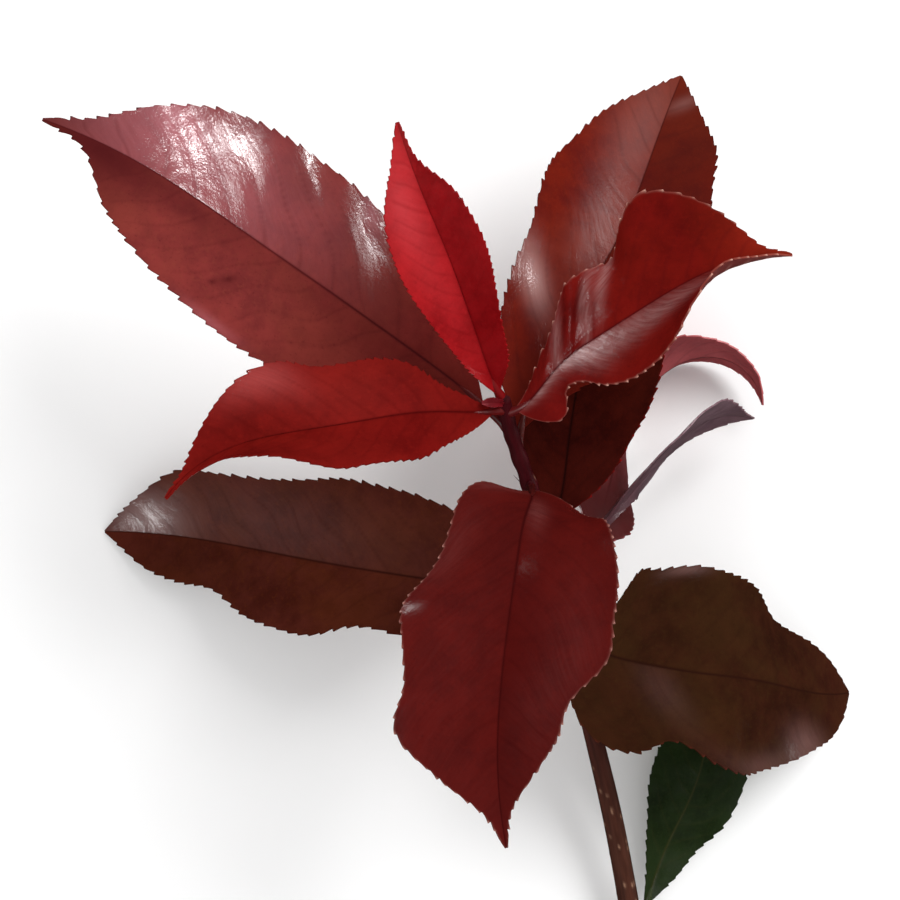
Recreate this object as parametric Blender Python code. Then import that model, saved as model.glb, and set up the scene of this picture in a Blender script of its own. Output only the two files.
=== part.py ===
"""Cut shoot of a red-leaved photinia, lying on its leaf tips and on the cut end of its stem.

The stem is one tapering limb from a flat cut to its tip. Each leaf, blade and stalk together,
is a solid of its own whose stalk ends just clear of the stem. Sizes are in millimetres and
angles in degrees, and the meshes are written in metres. From above, +X is to the right and
+Y is the way the tip of the shoot points. The floor is z = 0.
"""

import math
from dataclasses import dataclass

import bmesh
import bpy
import numpy as np

MM = 0.001
PART_NAME = "photinia_shoot"

# The middle of the whole shoot's box in the working plan below, and the height of its lowest point.
PLAN_CENTRE = (5.2, -22.8)
PLAN_FLOOR = 0.0

# Stem: points on its centre line from the tip to the cut, and its radius at both ends.
STEM_LINE = (
    (12.7, 12.0, 85.0),
    (14.8, 4.4, 78.5),
    (19.8, -9.1, 67.0),
    (26.8, -31.6, 53.0),
    (34.3, -62.3, 36.0),
    (43.2, -97.2, 19.0),
    (51.8, -140.5, 2.8),
)
STEM_TIP_RADIUS = 1.5
STEM_CUT_RADIUS = 3.0
STEM_TAPER = 0.8
STEM_STEP = 3.0
STEM_BEVEL_RESOLUTION = 4
TANGENT_REACH = 1.0

# The stem swells where a leaf stands on it.
NODE_SWELL = 0.4
NODE_SPAN = 3.0

# Leaf solids: slab thickness as a share of the blade's length, the rib under the midrib, how
# finely they are cut, and how far each half curls up from the midrib to its margin.
GAP = 0.3
SLAB_SHARE = 0.011
EDGE_SHARE = 0.6
RIB_DEPTH = 0.6
STALK_RADIUS = 0.95
STALK_RINGS = 3
BLADE_RINGS = 19
HALF_POINTS = 7
RING_CROWDING = 1.1
BASE_SHARE = 0.08
TIP_HALF_WIDTH = 0.4
BLADE_CURL = 8.0
FINE_STEPS = 240


@dataclass(frozen=True)
class Leaf:
    """Size and attitude of one leaf.

    station is the distance of its node from the tip of the stem, and stalk and length are the
    lengths of its stalk and blade. headings and pitches have five values: at the stem, and at
    0, 1/3, 2/3 and 1 of the blade. rolls and folds have four, at 0, 1/3, 2/3 and 1. left and
    right are half widths at even steps along the blade, and lift_left and lift_right say how
    far a wavy margin stands out of the blade's plane, at even steps too.
    """

    name: str
    station: float
    stalk: float
    length: float
    headings: tuple
    pitches: tuple
    rolls: tuple
    folds: tuple
    left: tuple
    right: tuple
    colour: tuple
    lift_left: tuple = (0.0,)
    lift_right: tuple = (0.0,)


SCARLET = (0.52, 0.010, 0.013)
CRIMSON = (0.36, 0.012, 0.012)
MAROON = (0.16, 0.022, 0.020)
DARK_RED = (0.13, 0.012, 0.010)
BROWN_RED = (0.085, 0.024, 0.017)
OLIVE_BROWN = (0.055, 0.027, 0.012)
DEEP_GREEN = (0.012, 0.028, 0.010)
ROSE = (0.25, 0.045, 0.050)
PURPLE_GREY = (0.11, 0.045, 0.060)
STEM_RED = (0.075, 0.006, 0.010)
LEAF_ROUGHNESS = 0.35
STEM_ROUGHNESS = 0.5

LEAVES = (
    Leaf(
        name="leaf_bud",
        station=1.2,
        stalk=2.8,
        length=6.0,
        headings=(172, 174, 178, 182, 186),
        pitches=(85, 65, 40, 28, 18),
        rolls=(0, 0, 0, 0),
        folds=(20, 20, 20, 15),
        left=(1.0, 1.3, 1.1),
        right=(1.0, 1.3, 1.1),
        colour=DARK_RED,
    ),
    Leaf(
        name="leaf_01",
        station=11,
        stalk=11,
        length=128,
        headings=(132, 139, 145, 146, 160),
        pitches=(8, 12, 6, -5, -16),
        rolls=(-6, -4, 1, 2),
        folds=(12, 8, 12, 8),
        left=(10.5, 16.5, 21.5, 23.5, 23.5, 22, 19, 13.5, 3),
        right=(10.5, 16.5, 21.5, 24, 25, 24.5, 21.5, 14.5, 5),
        colour=MAROON,
    ),
    Leaf(
        name="leaf_02",
        station=0,
        stalk=3.5,
        length=73,
        headings=(124, 118, 110, 114, 107),
        pitches=(42, 38, 33, 26, 16),
        rolls=(0, -7, -10, -1),
        folds=(22, 26, 21, 15),
        left=(5, 8, 10.5, 12.5, 12.5, 10.5, 5),
        right=(6, 7.5, 9, 10.5, 10.5, 8, 2),
        colour=SCARLET,
    ),
    Leaf(
        name="leaf_03",
        station=3,
        stalk=5,
        length=85,
        headings=(195, 185, 190, 193, 233),
        pitches=(45, 36, 18, -2, -16),
        rolls=(0, 10, 31, 24),
        folds=(18, 17, 35, 15),
        left=(5.5, 9, 12, 12.5, 13.5, 15.5, 15.5, 13.5, 9.5, 6, 2.5),
        right=(4, 7, 12, 14, 14, 14.5, 16.5, 15, 11, 6, 1.5),
        lift_left=(0, 0.5, -0.5, 1.5, 3),
        lift_right=(-0.5, 0.5, 0, 1.5, -0.5),
        colour=CRIMSON,
    ),
    Leaf(
        name="leaf_04",
        station=19,
        stalk=8,
        length=106,
        headings=(96, 80, 58, 69, 67),
        pitches=(22, 8, -12, -25, -29),
        rolls=(0, -3, -3, 2),
        folds=(12, 12, 11, 12),
        left=(9.5, 15.5, 19, 20.5, 23, 23.5, 20, 15.5, 8),
        right=(8.5, 14.5, 19, 21, 21.5, 20, 17.5, 15.5, 8.5),
        colour=MAROON,
    ),
    Leaf(
        name="leaf_05",
        station=4,
        stalk=4,
        length=78,
        headings=(0, 28, 32, 28, -1),
        pitches=(43, 33, 24, 16, 0),
        rolls=(-16, -24, -37, -44),
        folds=(23, 12, 27, 23),
        left=(3.5, 6, 9, 14.5, 15.5, 17, 19.5, 21.5, 17.5, 11, 4.5),
        right=(10, 6.5, 8.5, 13.5, 17, 19, 20, 19.5, 16, 11, 5),
        lift_left=(-3, -3.5, -1, -0.5, -6.5, 0.5, 4, 2.5, -2.5),
        lift_right=(-3.5, 0.5, 0, -1, -2, -1.5, 2.5, 6.5, 3),
        colour=CRIMSON,
    ),
    Leaf(
        name="leaf_06",
        station=43,
        stalk=5,
        length=88,
        headings=(50, 66, 80, 65, 57),
        pitches=(15, 5, -10, -22, -28),
        rolls=(1, 2, 0, 0),
        folds=(8, 10, 10, 10),
        left=(11, 16, 19.5, 20, 18.5, 15, 10.5),
        right=(11, 16, 19.5, 20, 18.5, 15, 10.5),
        colour=BROWN_RED,
    ),
    Leaf(
        name="leaf_07",
        station=28,
        stalk=8,
        length=108,
        headings=(-60, -96, -100, -95, -79),
        pitches=(74, 80, 45, 5, -20),
        rolls=(10, 21, 13, 2),
        folds=(6, -3, 7, 8),
        left=(10.5, 15.5, 19.5, 22.5, 24.5, 25, 24.5, 17, 14, 8.5, 2.5),
        right=(11.5, 16, 17.5, 20, 23, 25, 23.5, 22, 23, 13.5, 4),
        lift_left=(-1.5, 0.5, 0, -0.5, -0.5, 0, -1),
        lift_right=(0, -1, -2, 0.5, -0.5, 1, 0.5),
        colour=DARK_RED,
    ),
    Leaf(
        name="leaf_08",
        station=60,
        stalk=12,
        length=122,
        headings=(186, 178, 172, 171, 181),
        pitches=(0, -10, -22, -28, -29),
        rolls=(8, 10, -4, -10),
        folds=(10, 12, 3, 4),
        left=(16, 16.5, 16, 20, 19.5, 17.5, 13, 12.5, 9),
        right=(16, 20.5, 22, 22.5, 20.5, 19, 18.5, 18, 10),
        lift_left=(0, 1, 0, -0.5, -2, -0.5),
        lift_right=(0.5, 0.5, 0.5, 0, 0, 0),
        colour=BROWN_RED,
    ),
    Leaf(
        name="leaf_09",
        station=70,
        stalk=6,
        length=99,
        headings=(-76, -48, -9, -17, -2),
        pitches=(70, 27, -12, -45, -62),
        rolls=(-4, -11, -17, -8),
        folds=(-5, 3, -15, -5),
        left=(21, 24.5, 27, 26.5, 25, 22.5, 18.5, 15, 10),
        right=(19.5, 23, 18.5, 23, 24.5, 22.5, 19.5, 15, 10),
        lift_left=(-0.5, 0.5, 0.5, -4.5, -1.5),
        lift_right=(1, 1, 0, 0.5, 1),
        colour=OLIVE_BROWN,
    ),
    Leaf(
        name="leaf_10",
        station=167,
        stalk=8.5,
        length=74,
        headings=(57, 70, 63, 82, 73),
        pitches=(12, 6, -1, -3, -5),
        rolls=(0, 5, 5, 0),
        folds=(5, 6, 6, 5),
        left=(3.5, 7.5, 12, 13.5, 12.5, 11, 7),
        right=(5.5, 8, 11.5, 12.5, 12.5, 11, 7),
        colour=DEEP_GREEN,
    ),
    Leaf(
        name="leaf_11",
        station=48,
        stalk=12,
        length=98,
        headings=(-24, 38, 71, 32, -82),
        pitches=(-25, -42, -37, -10, -12),
        rolls=(5, 46, 75, 80),
        folds=(9, -20, -17, 2),
        left=(9, 13, 16, 17, 16, 12.5, 7),
        right=(9, 13, 16, 17, 16, 12.5, 7),
        colour=ROSE,
    ),
    Leaf(
        name="leaf_12",
        station=57,
        stalk=13.5,
        length=72,
        headings=(43, 51, 45, 35, -14),
        pitches=(28, 9, -40, -46, -22),
        rolls=(31, 76, 80, 74),
        folds=(9, 0, 0, 10),
        left=(1.5, 5, 12, 16.5, 16.5, 13.5, 8),
        right=(1.5, 5, 12, 16.5, 16, 13, 8.5),
        colour=PURPLE_GREY,
    ),
)


def hermite(knots, values, at):
    """Smooth curve through values at the knots, with slopes taken from the neighbours."""
    knots = np.asarray(knots, float)
    values = np.asarray(values, float)
    slopes = np.gradient(values, knots)
    at = np.clip(at, knots[0], knots[-1])
    i = np.clip(np.searchsorted(knots, at, side="right") - 1, 0, len(knots) - 2)
    h = knots[i + 1] - knots[i]
    u = (at - knots[i]) / h
    rise = (values[i + 1] - values[i]) * (3 * u**2 - 2 * u**3)
    lean = h * (slopes[i] * (u**3 - 2 * u**2 + u) + slopes[i + 1] * (u**3 - u**2))
    return values[i] + rise + lean


def even(count):
    """Evenly spaced shares from 0 to 1."""
    return np.linspace(0.0, 1.0, count)


def smooth_step(share):
    """Share from 0 to 1 that starts and ends level."""
    share = np.clip(share, 0.0, 1.0)
    return share * share * (3 - 2 * share)


def unit(vectors):
    """Vectors brought to length 1."""
    return vectors / np.linalg.norm(vectors, axis=-1, keepdims=True)


def read_off(distances, vectors, where):
    """Vectors read off a line at given distances along it."""
    return np.stack([np.interp(where, distances, vectors[:, k]) for k in range(3)], axis=-1)


def stem_line():
    """Distances from the stem's tip and the points of its centre line there."""
    line = np.array(STEM_LINE)
    chords = np.concatenate([[0.0], np.cumsum(np.linalg.norm(np.diff(line, axis=0), axis=1))])
    fine = np.linspace(0.0, chords[-1], FINE_STEPS)
    points = np.stack([hermite(chords, line[:, k], fine) for k in range(3)], axis=1)
    steps = np.linalg.norm(np.diff(points, axis=0), axis=1)
    return np.concatenate([[0.0], np.cumsum(steps)]), points


def stem_at(station):
    """Point on the stem's centre line, and the unit vector from there towards its tip."""
    distances, points = stem_line()
    ahead = read_off(distances, points, max(station - TANGENT_REACH, 0.0))
    behind = read_off(distances, points, station + TANGENT_REACH)
    return read_off(distances, points, station), unit(ahead - behind)


def stem_radius(station):
    """Radius of the stem at a distance from its tip, with a low swelling at each leaf."""
    distances, _ = stem_line()
    share = np.clip(station / distances[-1], 0.0, 1.0)
    radius = STEM_TIP_RADIUS + (STEM_CUT_RADIUS - STEM_TIP_RADIUS) * share**STEM_TAPER
    swell = [np.exp(-(((station - leaf.station) / NODE_SPAN) ** 2)) for leaf in LEAVES]
    return radius + NODE_SWELL * np.minimum(np.sum(swell, axis=0), 1.0)


def leaf_path(leaf, steps=FINE_STEPS):
    """Centre line of a leaf from the stem's axis to its tip.

    Gives the distances from the axis, the points, and the unit vectors ahead, to the left and
    out of the upper face.
    """
    knots = [0.0] + [leaf.stalk + leaf.length * k / 3 for k in range(4)]
    along = np.linspace(0.0, leaf.stalk + leaf.length, steps)
    heading = np.radians(hermite(knots, leaf.headings, along))
    pitch = np.radians(hermite(knots, leaf.pitches, along))
    roll = np.radians(hermite(knots[1:], leaf.rolls, along))
    level = np.stack([np.cos(heading), np.sin(heading), np.zeros(steps)], axis=1)
    side = np.stack([-np.sin(heading), np.cos(heading), np.zeros(steps)], axis=1)
    rise = np.array([0.0, 0.0, 1.0])
    ahead = np.cos(pitch)[:, None] * level + np.sin(pitch)[:, None] * rise
    upper = -np.sin(pitch)[:, None] * level + np.cos(pitch)[:, None] * rise
    left = np.cos(roll)[:, None] * side + np.sin(roll)[:, None] * upper
    face = -np.sin(roll)[:, None] * side + np.cos(roll)[:, None] * upper
    start, _ = stem_at(leaf.station)
    run = (ahead[1:] + ahead[:-1]) * 0.5 * (along[1] - along[0])
    points = start + np.concatenate([np.zeros((1, 3)), np.cumsum(run, axis=0)])
    return along, points, ahead, left, face


def half_width(leaf, share, y):
    """Half width of the blade at a share of its length, left of the midrib for y over 0."""
    widths = []
    for side in (leaf.left, leaf.right):
        values = (STALK_RADIUS,) + side + (TIP_HALF_WIDTH,)
        widths.append(np.maximum(hermite(even(len(values)), values, share), TIP_HALF_WIDTH))
    return np.where(y >= 0, widths[0], widths[1])


def margin_lift(leaf, share, y):
    """How far the wavy margin stands out of the blade's plane."""
    lifts = []
    for side in (leaf.lift_left, leaf.lift_right):
        values = (0.0,) + side + (0.0,)
        lifts.append(hermite(even(len(values)), values, share))
    return np.where(y >= 0, lifts[0], lifts[1])


def blade_point(leaf, path, share, y):
    """Point of the blade's middle surface at a share of its length and y (-1 to 1) across."""
    along, points, _, left, face = path
    share = np.asarray(share, float)
    y = np.asarray(y, float)
    where = leaf.stalk + share * leaf.length
    across = np.abs(y)
    width = half_width(leaf, share, y)
    fold = np.radians(hermite(even(len(leaf.folds)), leaf.folds, share))
    curl = math.radians(BLADE_CURL)
    out = width * (np.sin(fold + curl * across) - np.sin(fold)) / curl
    high = width * (np.cos(fold) - np.cos(fold + curl * across)) / curl
    high = high + margin_lift(leaf, share, y) * across**2
    centre = read_off(along, points, where)
    side = read_off(along, left, where)
    up = read_off(along, face, where)
    return centre + (np.sign(y) * out)[..., None] * side + high[..., None] * up


def round_section():
    """Sideways and upward parts of the stalk's section, round from its upper left."""
    turn = np.radians((np.arange(2 * HALF_POINTS) + 0.5) * 180 / HALF_POINTS)
    return np.cos(turn), np.sin(turn)


def stalk_start(leaf, path):
    """First ring of a stalk, cut along the stem just clear of it, and where the next may be."""
    _, _, ahead, left, face = path
    out, up = round_section()
    ring = STALK_RADIUS * (out[:, None] * left[0] + up[:, None] * face[0])
    node, axis = stem_at(leaf.station)
    away = unit(ahead[0] - (ahead[0] @ axis) * axis)
    clear = float(stem_radius(leaf.station)) + GAP
    if leaf.station == 0:
        away, clear = axis, GAP
    reach = (clear - ring @ away) / (ahead[0] @ away)
    return node + ring + reach[:, None] * ahead[0], float(reach.max()) + GAP


def stalk_ring(path, where):
    """Round ring of a stalk at a distance from the stem's axis."""
    along, points, _, left, face = path
    out, up = round_section()
    across = out[:, None] * read_off(along, left, where) + up[:, None] * read_off(along, face, where)
    return read_off(along, points, where) + STALK_RADIUS * across


def blade_ring(leaf, path, share):
    """Ring round the blade's slab, which grows out of the round stalk at its base."""
    y = 1.0 - 2.0 * np.arange(HALF_POINTS) / (HALF_POINTS - 1)
    middle = blade_point(leaf, path, np.full(HALF_POINTS, share), y)
    ahead = read_off(path[0], path[2], leaf.stalk + share * leaf.length)
    normal = unit(np.cross(ahead, np.gradient(-middle, axis=0)))
    thick = 0.5 * SLAB_SHARE * leaf.length * (1.0 - (1.0 - EDGE_SHARE) * y**2)
    rib = RIB_DEPTH * (1.0 - share) * (np.arange(HALF_POINTS) == HALF_POINTS // 2)
    top = middle + normal * thick[:, None]
    bottom = middle - normal * (thick + rib)[:, None]
    slab = np.concatenate([top, bottom[::-1]])
    grown = smooth_step(share / BASE_SHARE)
    stalk = stalk_ring(path, leaf.stalk + share * leaf.length)
    return stalk + grown * (slab - stalk)


def leaf_rings(leaf):
    """All the rings of a leaf from the stem to its tip."""
    path = leaf_path(leaf)
    first, free = stalk_start(leaf, path)
    stalk = [stalk_ring(path, w) for w in np.linspace(free, leaf.stalk, STALK_RINGS + 1)[:-1]]
    if free > leaf.stalk:
        stalk = []
    shares = even(BLADE_RINGS) ** RING_CROWDING
    first_share = max(free - leaf.stalk, 0.0) / leaf.length
    shares = first_share + (1.0 - first_share) * shares
    return [first] + stalk + [blade_ring(leaf, path, share) for share in shares]


def ring_faces(rings, sides):
    """Faces of a closed loft through a number of rings."""
    first = tuple(reversed(range(sides)))
    last = tuple(range((rings - 1) * sides, rings * sides))
    faces = [first, last]
    for r in range(rings - 1):
        for k in range(sides):
            a = r * sides + k
            b = r * sides + (k + 1) % sides
            faces.append((a, b, b + sides, a + sides))
    return faces


def add_material(name, colour, roughness):
    """Plain material of one sub-part."""
    material = bpy.data.materials.new(name)
    material.use_nodes = True
    shader = material.node_tree.nodes["Principled BSDF"]
    shader.inputs["Base Color"].default_value = (*colour, 1.0)
    shader.inputs["Roughness"].default_value = roughness
    shader.inputs["Metallic"].default_value = 0.0
    return material


def add_leaf(leaf, collection, plant):
    """One leaf, lofted from its rings, with its origin at its node on the stem."""
    rings = leaf_rings(leaf)
    node, _ = stem_at(leaf.station)
    mesh = bpy.data.meshes.new(leaf.name)
    shape = bmesh.new()
    vertices = [shape.verts.new((p - node) * MM) for p in np.concatenate(rings)]
    for face in ring_faces(len(rings), 2 * HALF_POINTS):
        shape.faces.new([vertices[i] for i in face])
    bmesh.ops.triangulate(shape, faces=shape.faces)
    shape.to_mesh(mesh)
    shape.free()
    mesh.shade_smooth()
    mesh.materials.append(add_material(leaf.name, leaf.colour, LEAF_ROUGHNESS))
    leaf_object = bpy.data.objects.new(leaf.name, mesh)
    leaf_object.location = node * MM
    leaf_object.parent = plant
    collection.objects.link(leaf_object)


def add_stem(collection, plant):
    """The stem, a tube that tapers along its line, flat at the cut and at the tip."""
    distances, points = stem_line()
    count = int(round(distances[-1] / STEM_STEP)) + 1
    curve = bpy.data.curves.new("stem", "CURVE")
    curve.dimensions = "3D"
    curve.bevel_depth = MM
    curve.bevel_resolution = STEM_BEVEL_RESOLUTION
    curve.use_fill_caps = True
    spline = curve.splines.new("POLY")
    spline.points.add(count - 1)
    for point, station in zip(spline.points, np.linspace(0.0, distances[-1], count)):
        point.co = (*(read_off(distances, points, station) * MM), 1.0)
        point.radius = float(stem_radius(station))
    spline.use_smooth = True
    curve.materials.append(add_material("stem", STEM_RED, STEM_ROUGHNESS))
    stem = bpy.data.objects.new("stem", curve)
    stem.parent = plant
    collection.objects.link(stem)


def main():
    """Build the shoot with the middle of its box's floor at the origin."""
    for old in list(bpy.data.objects):
        bpy.data.objects.remove(old, do_unlink=True)
    collection = bpy.data.collections.new(PART_NAME)
    bpy.context.scene.collection.children.link(collection)
    plant = bpy.data.objects.new(PART_NAME + "_origin", None)
    plant.location = (-PLAN_CENTRE[0] * MM, -PLAN_CENTRE[1] * MM, -PLAN_FLOOR * MM)
    collection.objects.link(plant)
    add_stem(collection, plant)
    for leaf in LEAVES:
        add_leaf(leaf, collection, plant)
    bpy.context.view_layer.update()


if __name__ == "__main__":
    main()
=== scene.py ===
"""Looks of a cut shoot of a red-leaved photinia, lying on two leaves and its cut stem.

Each leaf is a thin leathery blade with a toothed margin, a sunken midrib, side veins and
creases. Its round stalk runs on under the blade as a rib. The stem has swollen nodes, side
buds, lenticels and a fresh cut. Lengths are in millimetres and angles in degrees, in the
plan that the solids are worked out in, until a piece is put in its place in metres.
"""

import logging
import math
from dataclasses import dataclass
from enum import Enum
from typing import Any

import bpy
import numpy as np
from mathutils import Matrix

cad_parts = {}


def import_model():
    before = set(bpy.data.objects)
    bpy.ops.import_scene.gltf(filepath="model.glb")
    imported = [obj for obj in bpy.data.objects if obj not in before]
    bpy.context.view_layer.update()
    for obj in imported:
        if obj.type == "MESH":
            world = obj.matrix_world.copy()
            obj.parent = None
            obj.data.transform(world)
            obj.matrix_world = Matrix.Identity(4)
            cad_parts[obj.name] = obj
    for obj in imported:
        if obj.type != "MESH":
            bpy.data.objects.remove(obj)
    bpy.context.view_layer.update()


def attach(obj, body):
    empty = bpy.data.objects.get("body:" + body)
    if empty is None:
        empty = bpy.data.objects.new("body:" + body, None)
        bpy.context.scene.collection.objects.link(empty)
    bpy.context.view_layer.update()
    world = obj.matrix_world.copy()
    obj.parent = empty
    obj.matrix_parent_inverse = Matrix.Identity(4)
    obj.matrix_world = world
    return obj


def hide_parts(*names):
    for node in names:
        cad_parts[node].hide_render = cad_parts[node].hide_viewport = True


LOG = logging.getLogger("shoot")
BODY = "root"
MM = 0.001
# One unit of each UV map stands for this many mm.
UV_SPAN = 150.0

# The plan's middle and floor, which become the origin of the frame.
PLAN_CENTRE = (5.2, -22.8)
PLAN_FLOOR = 0.0

# The stem's centre line from its tip to its cut, and its radii there.
STEM_LINE = (
    (12.7, 12.0, 85.0),
    (14.8, 4.4, 78.5),
    (19.8, -9.1, 67.0),
    (26.8, -31.6, 53.0),
    (34.3, -62.3, 36.0),
    (43.2, -97.2, 19.0),
    (51.8, -140.5, 2.8),
)
STEM_TIP_RADIUS = 1.5
STEM_CUT_RADIUS = 3.0
STEM_TAPER = 0.8
NODE_SWELL = 0.4
NODE_SPAN = 3.0
STALK_RADIUS = 0.95
TIP_HALF_WIDTH = 0.4
BLADE_CURL = 8.0
# Centre lines are worked out at this many points.
FINE_STEPS = 240

Array = np.ndarray


class Side(Enum):
    """Half of a blade, seen from above and looking from its base to its tip."""

    LEFT = 1.0
    RIGHT = -1.0


class Slot(Enum):
    """Material slots of the record, one for each leaf finish."""

    SCARLET = "leaf_scarlet"
    CRIMSON = "leaf_crimson"
    MAROON = "leaf_maroon"
    DARK_RED = "leaf_dark_red"
    BROWN_RED = "leaf_brown_red"
    OLIVE_BROWN = "leaf_olive_brown"
    DEEP_GREEN = "leaf_deep_green"
    ROSE = "leaf_rose"
    PURPLE_GREY = "leaf_purple_grey"
    BARK = "stem_bark"


def hermite(knots: Any, values: Any, at: Any) -> Array:
    """Smooth curve through values at knots, with slopes taken from the neighbours.

    Args:
        knots: rising places of the values.
        values: the values there.
        at: where the curve is read.

    Returns:
        The curve's values.
    """
    knots = np.asarray(knots, float)
    values = np.asarray(values, float)
    slopes = np.gradient(values, knots)
    at = np.clip(at, knots[0], knots[-1])
    i = np.clip(np.searchsorted(knots, at, side="right") - 1, 0, len(knots) - 2)
    h = knots[i + 1] - knots[i]
    u = (at - knots[i]) / h
    rise = (values[i + 1] - values[i]) * (3 * u**2 - 2 * u**3)
    lean = h * (slopes[i] * (u**3 - 2 * u**2 + u) + slopes[i + 1] * (u**3 - u**2))
    return values[i] + rise + lean


def curve(knots: Any, points: Array, at: Array) -> Array:
    """Smooth line through points at knots, read at given places."""
    return np.stack([hermite(knots, points[:, k], at) for k in range(3)], axis=1)


def smooth_step(low: float, high: float, at: Array) -> Array:
    """Share that goes from 0 at low to 1 at high and is level at both.

    Args:
        low: where it starts to rise.
        high: where it has risen.
        at: where it is read.

    Returns:
        The shares.
    """
    share = np.clip((at - low) / (high - low), 0.0, 1.0)
    return share * share * (3 - 2 * share)


def unit(vectors: Array) -> Array:
    """Vectors brought to length 1."""
    return vectors / np.linalg.norm(vectors, axis=-1, keepdims=True)


def read_off(distances: Array, vectors: Array, where: Any) -> Array:
    """Vectors read off a line at given distances along it."""
    return np.stack([np.interp(where, distances, vectors[:, k]) for k in range(3)], axis=-1)


def ring(turn: Array, first: Array, second: Array) -> Array:
    """Directions that turn from a first one towards a second one."""
    return np.cos(turn)[:, None] * first + np.sin(turn)[:, None] * second


def waves(along: Array, across: Array, length: float, seed: int, count: int = 22) -> Array:
    """Uneven ripples of about one wavelength that run all ways, mostly between -2 and 2.

    Args:
        along: first coordinate in mm.
        across: second coordinate in mm.
        length: the ripples' wavelength in mm.
        seed: picks the ripples.
        count: how many plane ripples are added up.

    Returns:
        Their sum at each point.
    """
    draw = np.random.default_rng(seed)
    total = np.zeros(np.shape(along))
    for _ in range(count):
        heading = draw.uniform(0, 2 * np.pi)
        turns = 2 * np.pi / (length * draw.uniform(0.75, 1.4))
        phase = draw.uniform(0, 2 * np.pi)
        total += np.cos(turns * (along * np.cos(heading) + across * np.sin(heading)) + phase)
    return total * math.sqrt(2.0 / count)


def to_linear(colour: str) -> tuple[float, float, float, float]:
    """Linear colour from an sRGB hex value.

    Args:
        colour: six hex digits after a hash sign.

    Returns:
        Red, green, blue and an alpha of 1.
    """
    parts = [int(colour[k : k + 2], 16) / 255 for k in (1, 3, 5)]
    linear = [c / 12.92 if c <= 0.04045 else ((c + 0.055) / 1.055) ** 2.4 for c in parts]
    return (*linear, 1.0)


def add_node(tree: Any, kind: str, settings: dict[str, Any], inputs: dict[Any, Any]) -> Any:
    """Adds a node to a tree.

    Args:
        tree: the node tree.
        kind: the node's type.
        settings: properties of the node.
        inputs: for each input, a value or the socket that is linked to it.

    Returns:
        The node.
    """
    node = tree.nodes.new(kind)
    for name, value in settings.items():
        setattr(node, name, value)
    for name, value in inputs.items():
        if isinstance(value, bpy.types.NodeSocket):
            tree.links.new(value, node.inputs[name])
        else:
            node.inputs[name].default_value = value
    return node


def deselect() -> None:
    """Leaves edit mode and deselects every object."""
    if bpy.context.object and bpy.context.object.mode != "OBJECT":
        bpy.ops.object.mode_set(mode="OBJECT")
    bpy.ops.object.select_all(action="DESELECT")


def select(*pieces: bpy.types.Object) -> None:
    """Selects these objects alone.

    Args:
        pieces: the objects; the first one becomes the active one.
    """
    deselect()
    for piece in pieces:
        piece.select_set(True)
    bpy.context.view_layer.objects.active = pieces[0]


def add_grid(name: str, rows: int, columns: int) -> tuple[bpy.types.Object, Array, Array]:
    """Adds a flat grid one unit square, to be shaped.

    Args:
        name: the object's name.
        rows: divisions along X.
        columns: divisions along Y.

    Returns:
        The object, and for each vertex its share along X and along Y, from 0 to 1.
    """
    deselect()
    bpy.ops.mesh.primitive_grid_add(x_subdivisions=rows, y_subdivisions=columns, size=1.0)
    piece = bpy.context.object
    piece.name = piece.data.name = name
    flat = np.zeros(len(piece.data.vertices) * 3)
    piece.data.vertices.foreach_get("co", flat)
    flat = flat.reshape(-1, 3)
    return piece, np.clip(flat[:, 0] + 0.5, 0, 1), np.clip(flat[:, 1] + 0.5, 0, 1)


def place(points: Array) -> Array:
    """Plan points in mm as points of the frame in metres."""
    return (points - np.array([*PLAN_CENTRE, PLAN_FLOOR])) * MM


def move_vertices(piece: bpy.types.Object, points: Array) -> None:
    """Moves the vertices of a mesh to plan points in mm."""
    piece.data.vertices.foreach_set("co", place(points).astype(np.float32).ravel())
    piece.data.update()


def map_surface(piece: bpy.types.Object, along: Array, across: Array) -> None:
    """Lays the UV map out in mm along and across, UV_SPAN to one unit.

    Args:
        piece: the mesh object.
        along: mm along the piece at each vertex.
        across: mm across it at each vertex.
    """
    mesh = piece.data
    corners = np.zeros(len(mesh.loops), dtype=np.int32)
    mesh.loops.foreach_get("vertex_index", corners)
    uv = np.stack([along, across], axis=1)[corners] / UV_SPAN
    mesh.uv_layers.active.data.foreach_set("uv", uv.astype(np.float32).ravel())


def keep_values(piece: bpy.types.Object, **values: Array) -> None:
    """Stores numbers for the materials to read.

    Args:
        piece: the mesh object.
        values: under each name, a number for each vertex.
    """
    for name, numbers in values.items():
        made = piece.data.attributes.new(name, "FLOAT", "POINT")
        made.data.foreach_set("value", numbers.astype(np.float32))


def apply_modifier(piece: bpy.types.Object, kind: str, **settings: Any) -> None:
    """Adds a modifier and applies it.

    Args:
        piece: the object.
        kind: the modifier's type.
        settings: its properties.
    """
    select(piece)
    bpy.ops.object.modifier_add(type=kind)
    modifier = piece.modifiers[-1]
    for name, value in settings.items():
        setattr(modifier, name, value)
    bpy.ops.object.modifier_apply(modifier=modifier.name)


def weld_tube(piece: bpy.types.Object) -> None:
    """Merges the seam of a rolled grid, closes its ends and turns its faces out.

    Args:
        piece: the rolled grid.
    """
    select(piece)
    bpy.ops.object.mode_set(mode="EDIT")
    bpy.ops.mesh.select_all(action="SELECT")
    bpy.ops.mesh.remove_doubles(threshold=1e-7)
    bpy.ops.mesh.fill_holes(sides=0)
    bpy.ops.mesh.select_all(action="SELECT")
    bpy.ops.mesh.normals_make_consistent(inside=False)
    bpy.ops.object.mode_set(mode="OBJECT")


def dress(piece: bpy.types.Object, *materials: bpy.types.Material) -> None:
    """Gives a piece its materials, in the order of its slots."""
    for material in materials:
        piece.data.materials.append(material)


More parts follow.
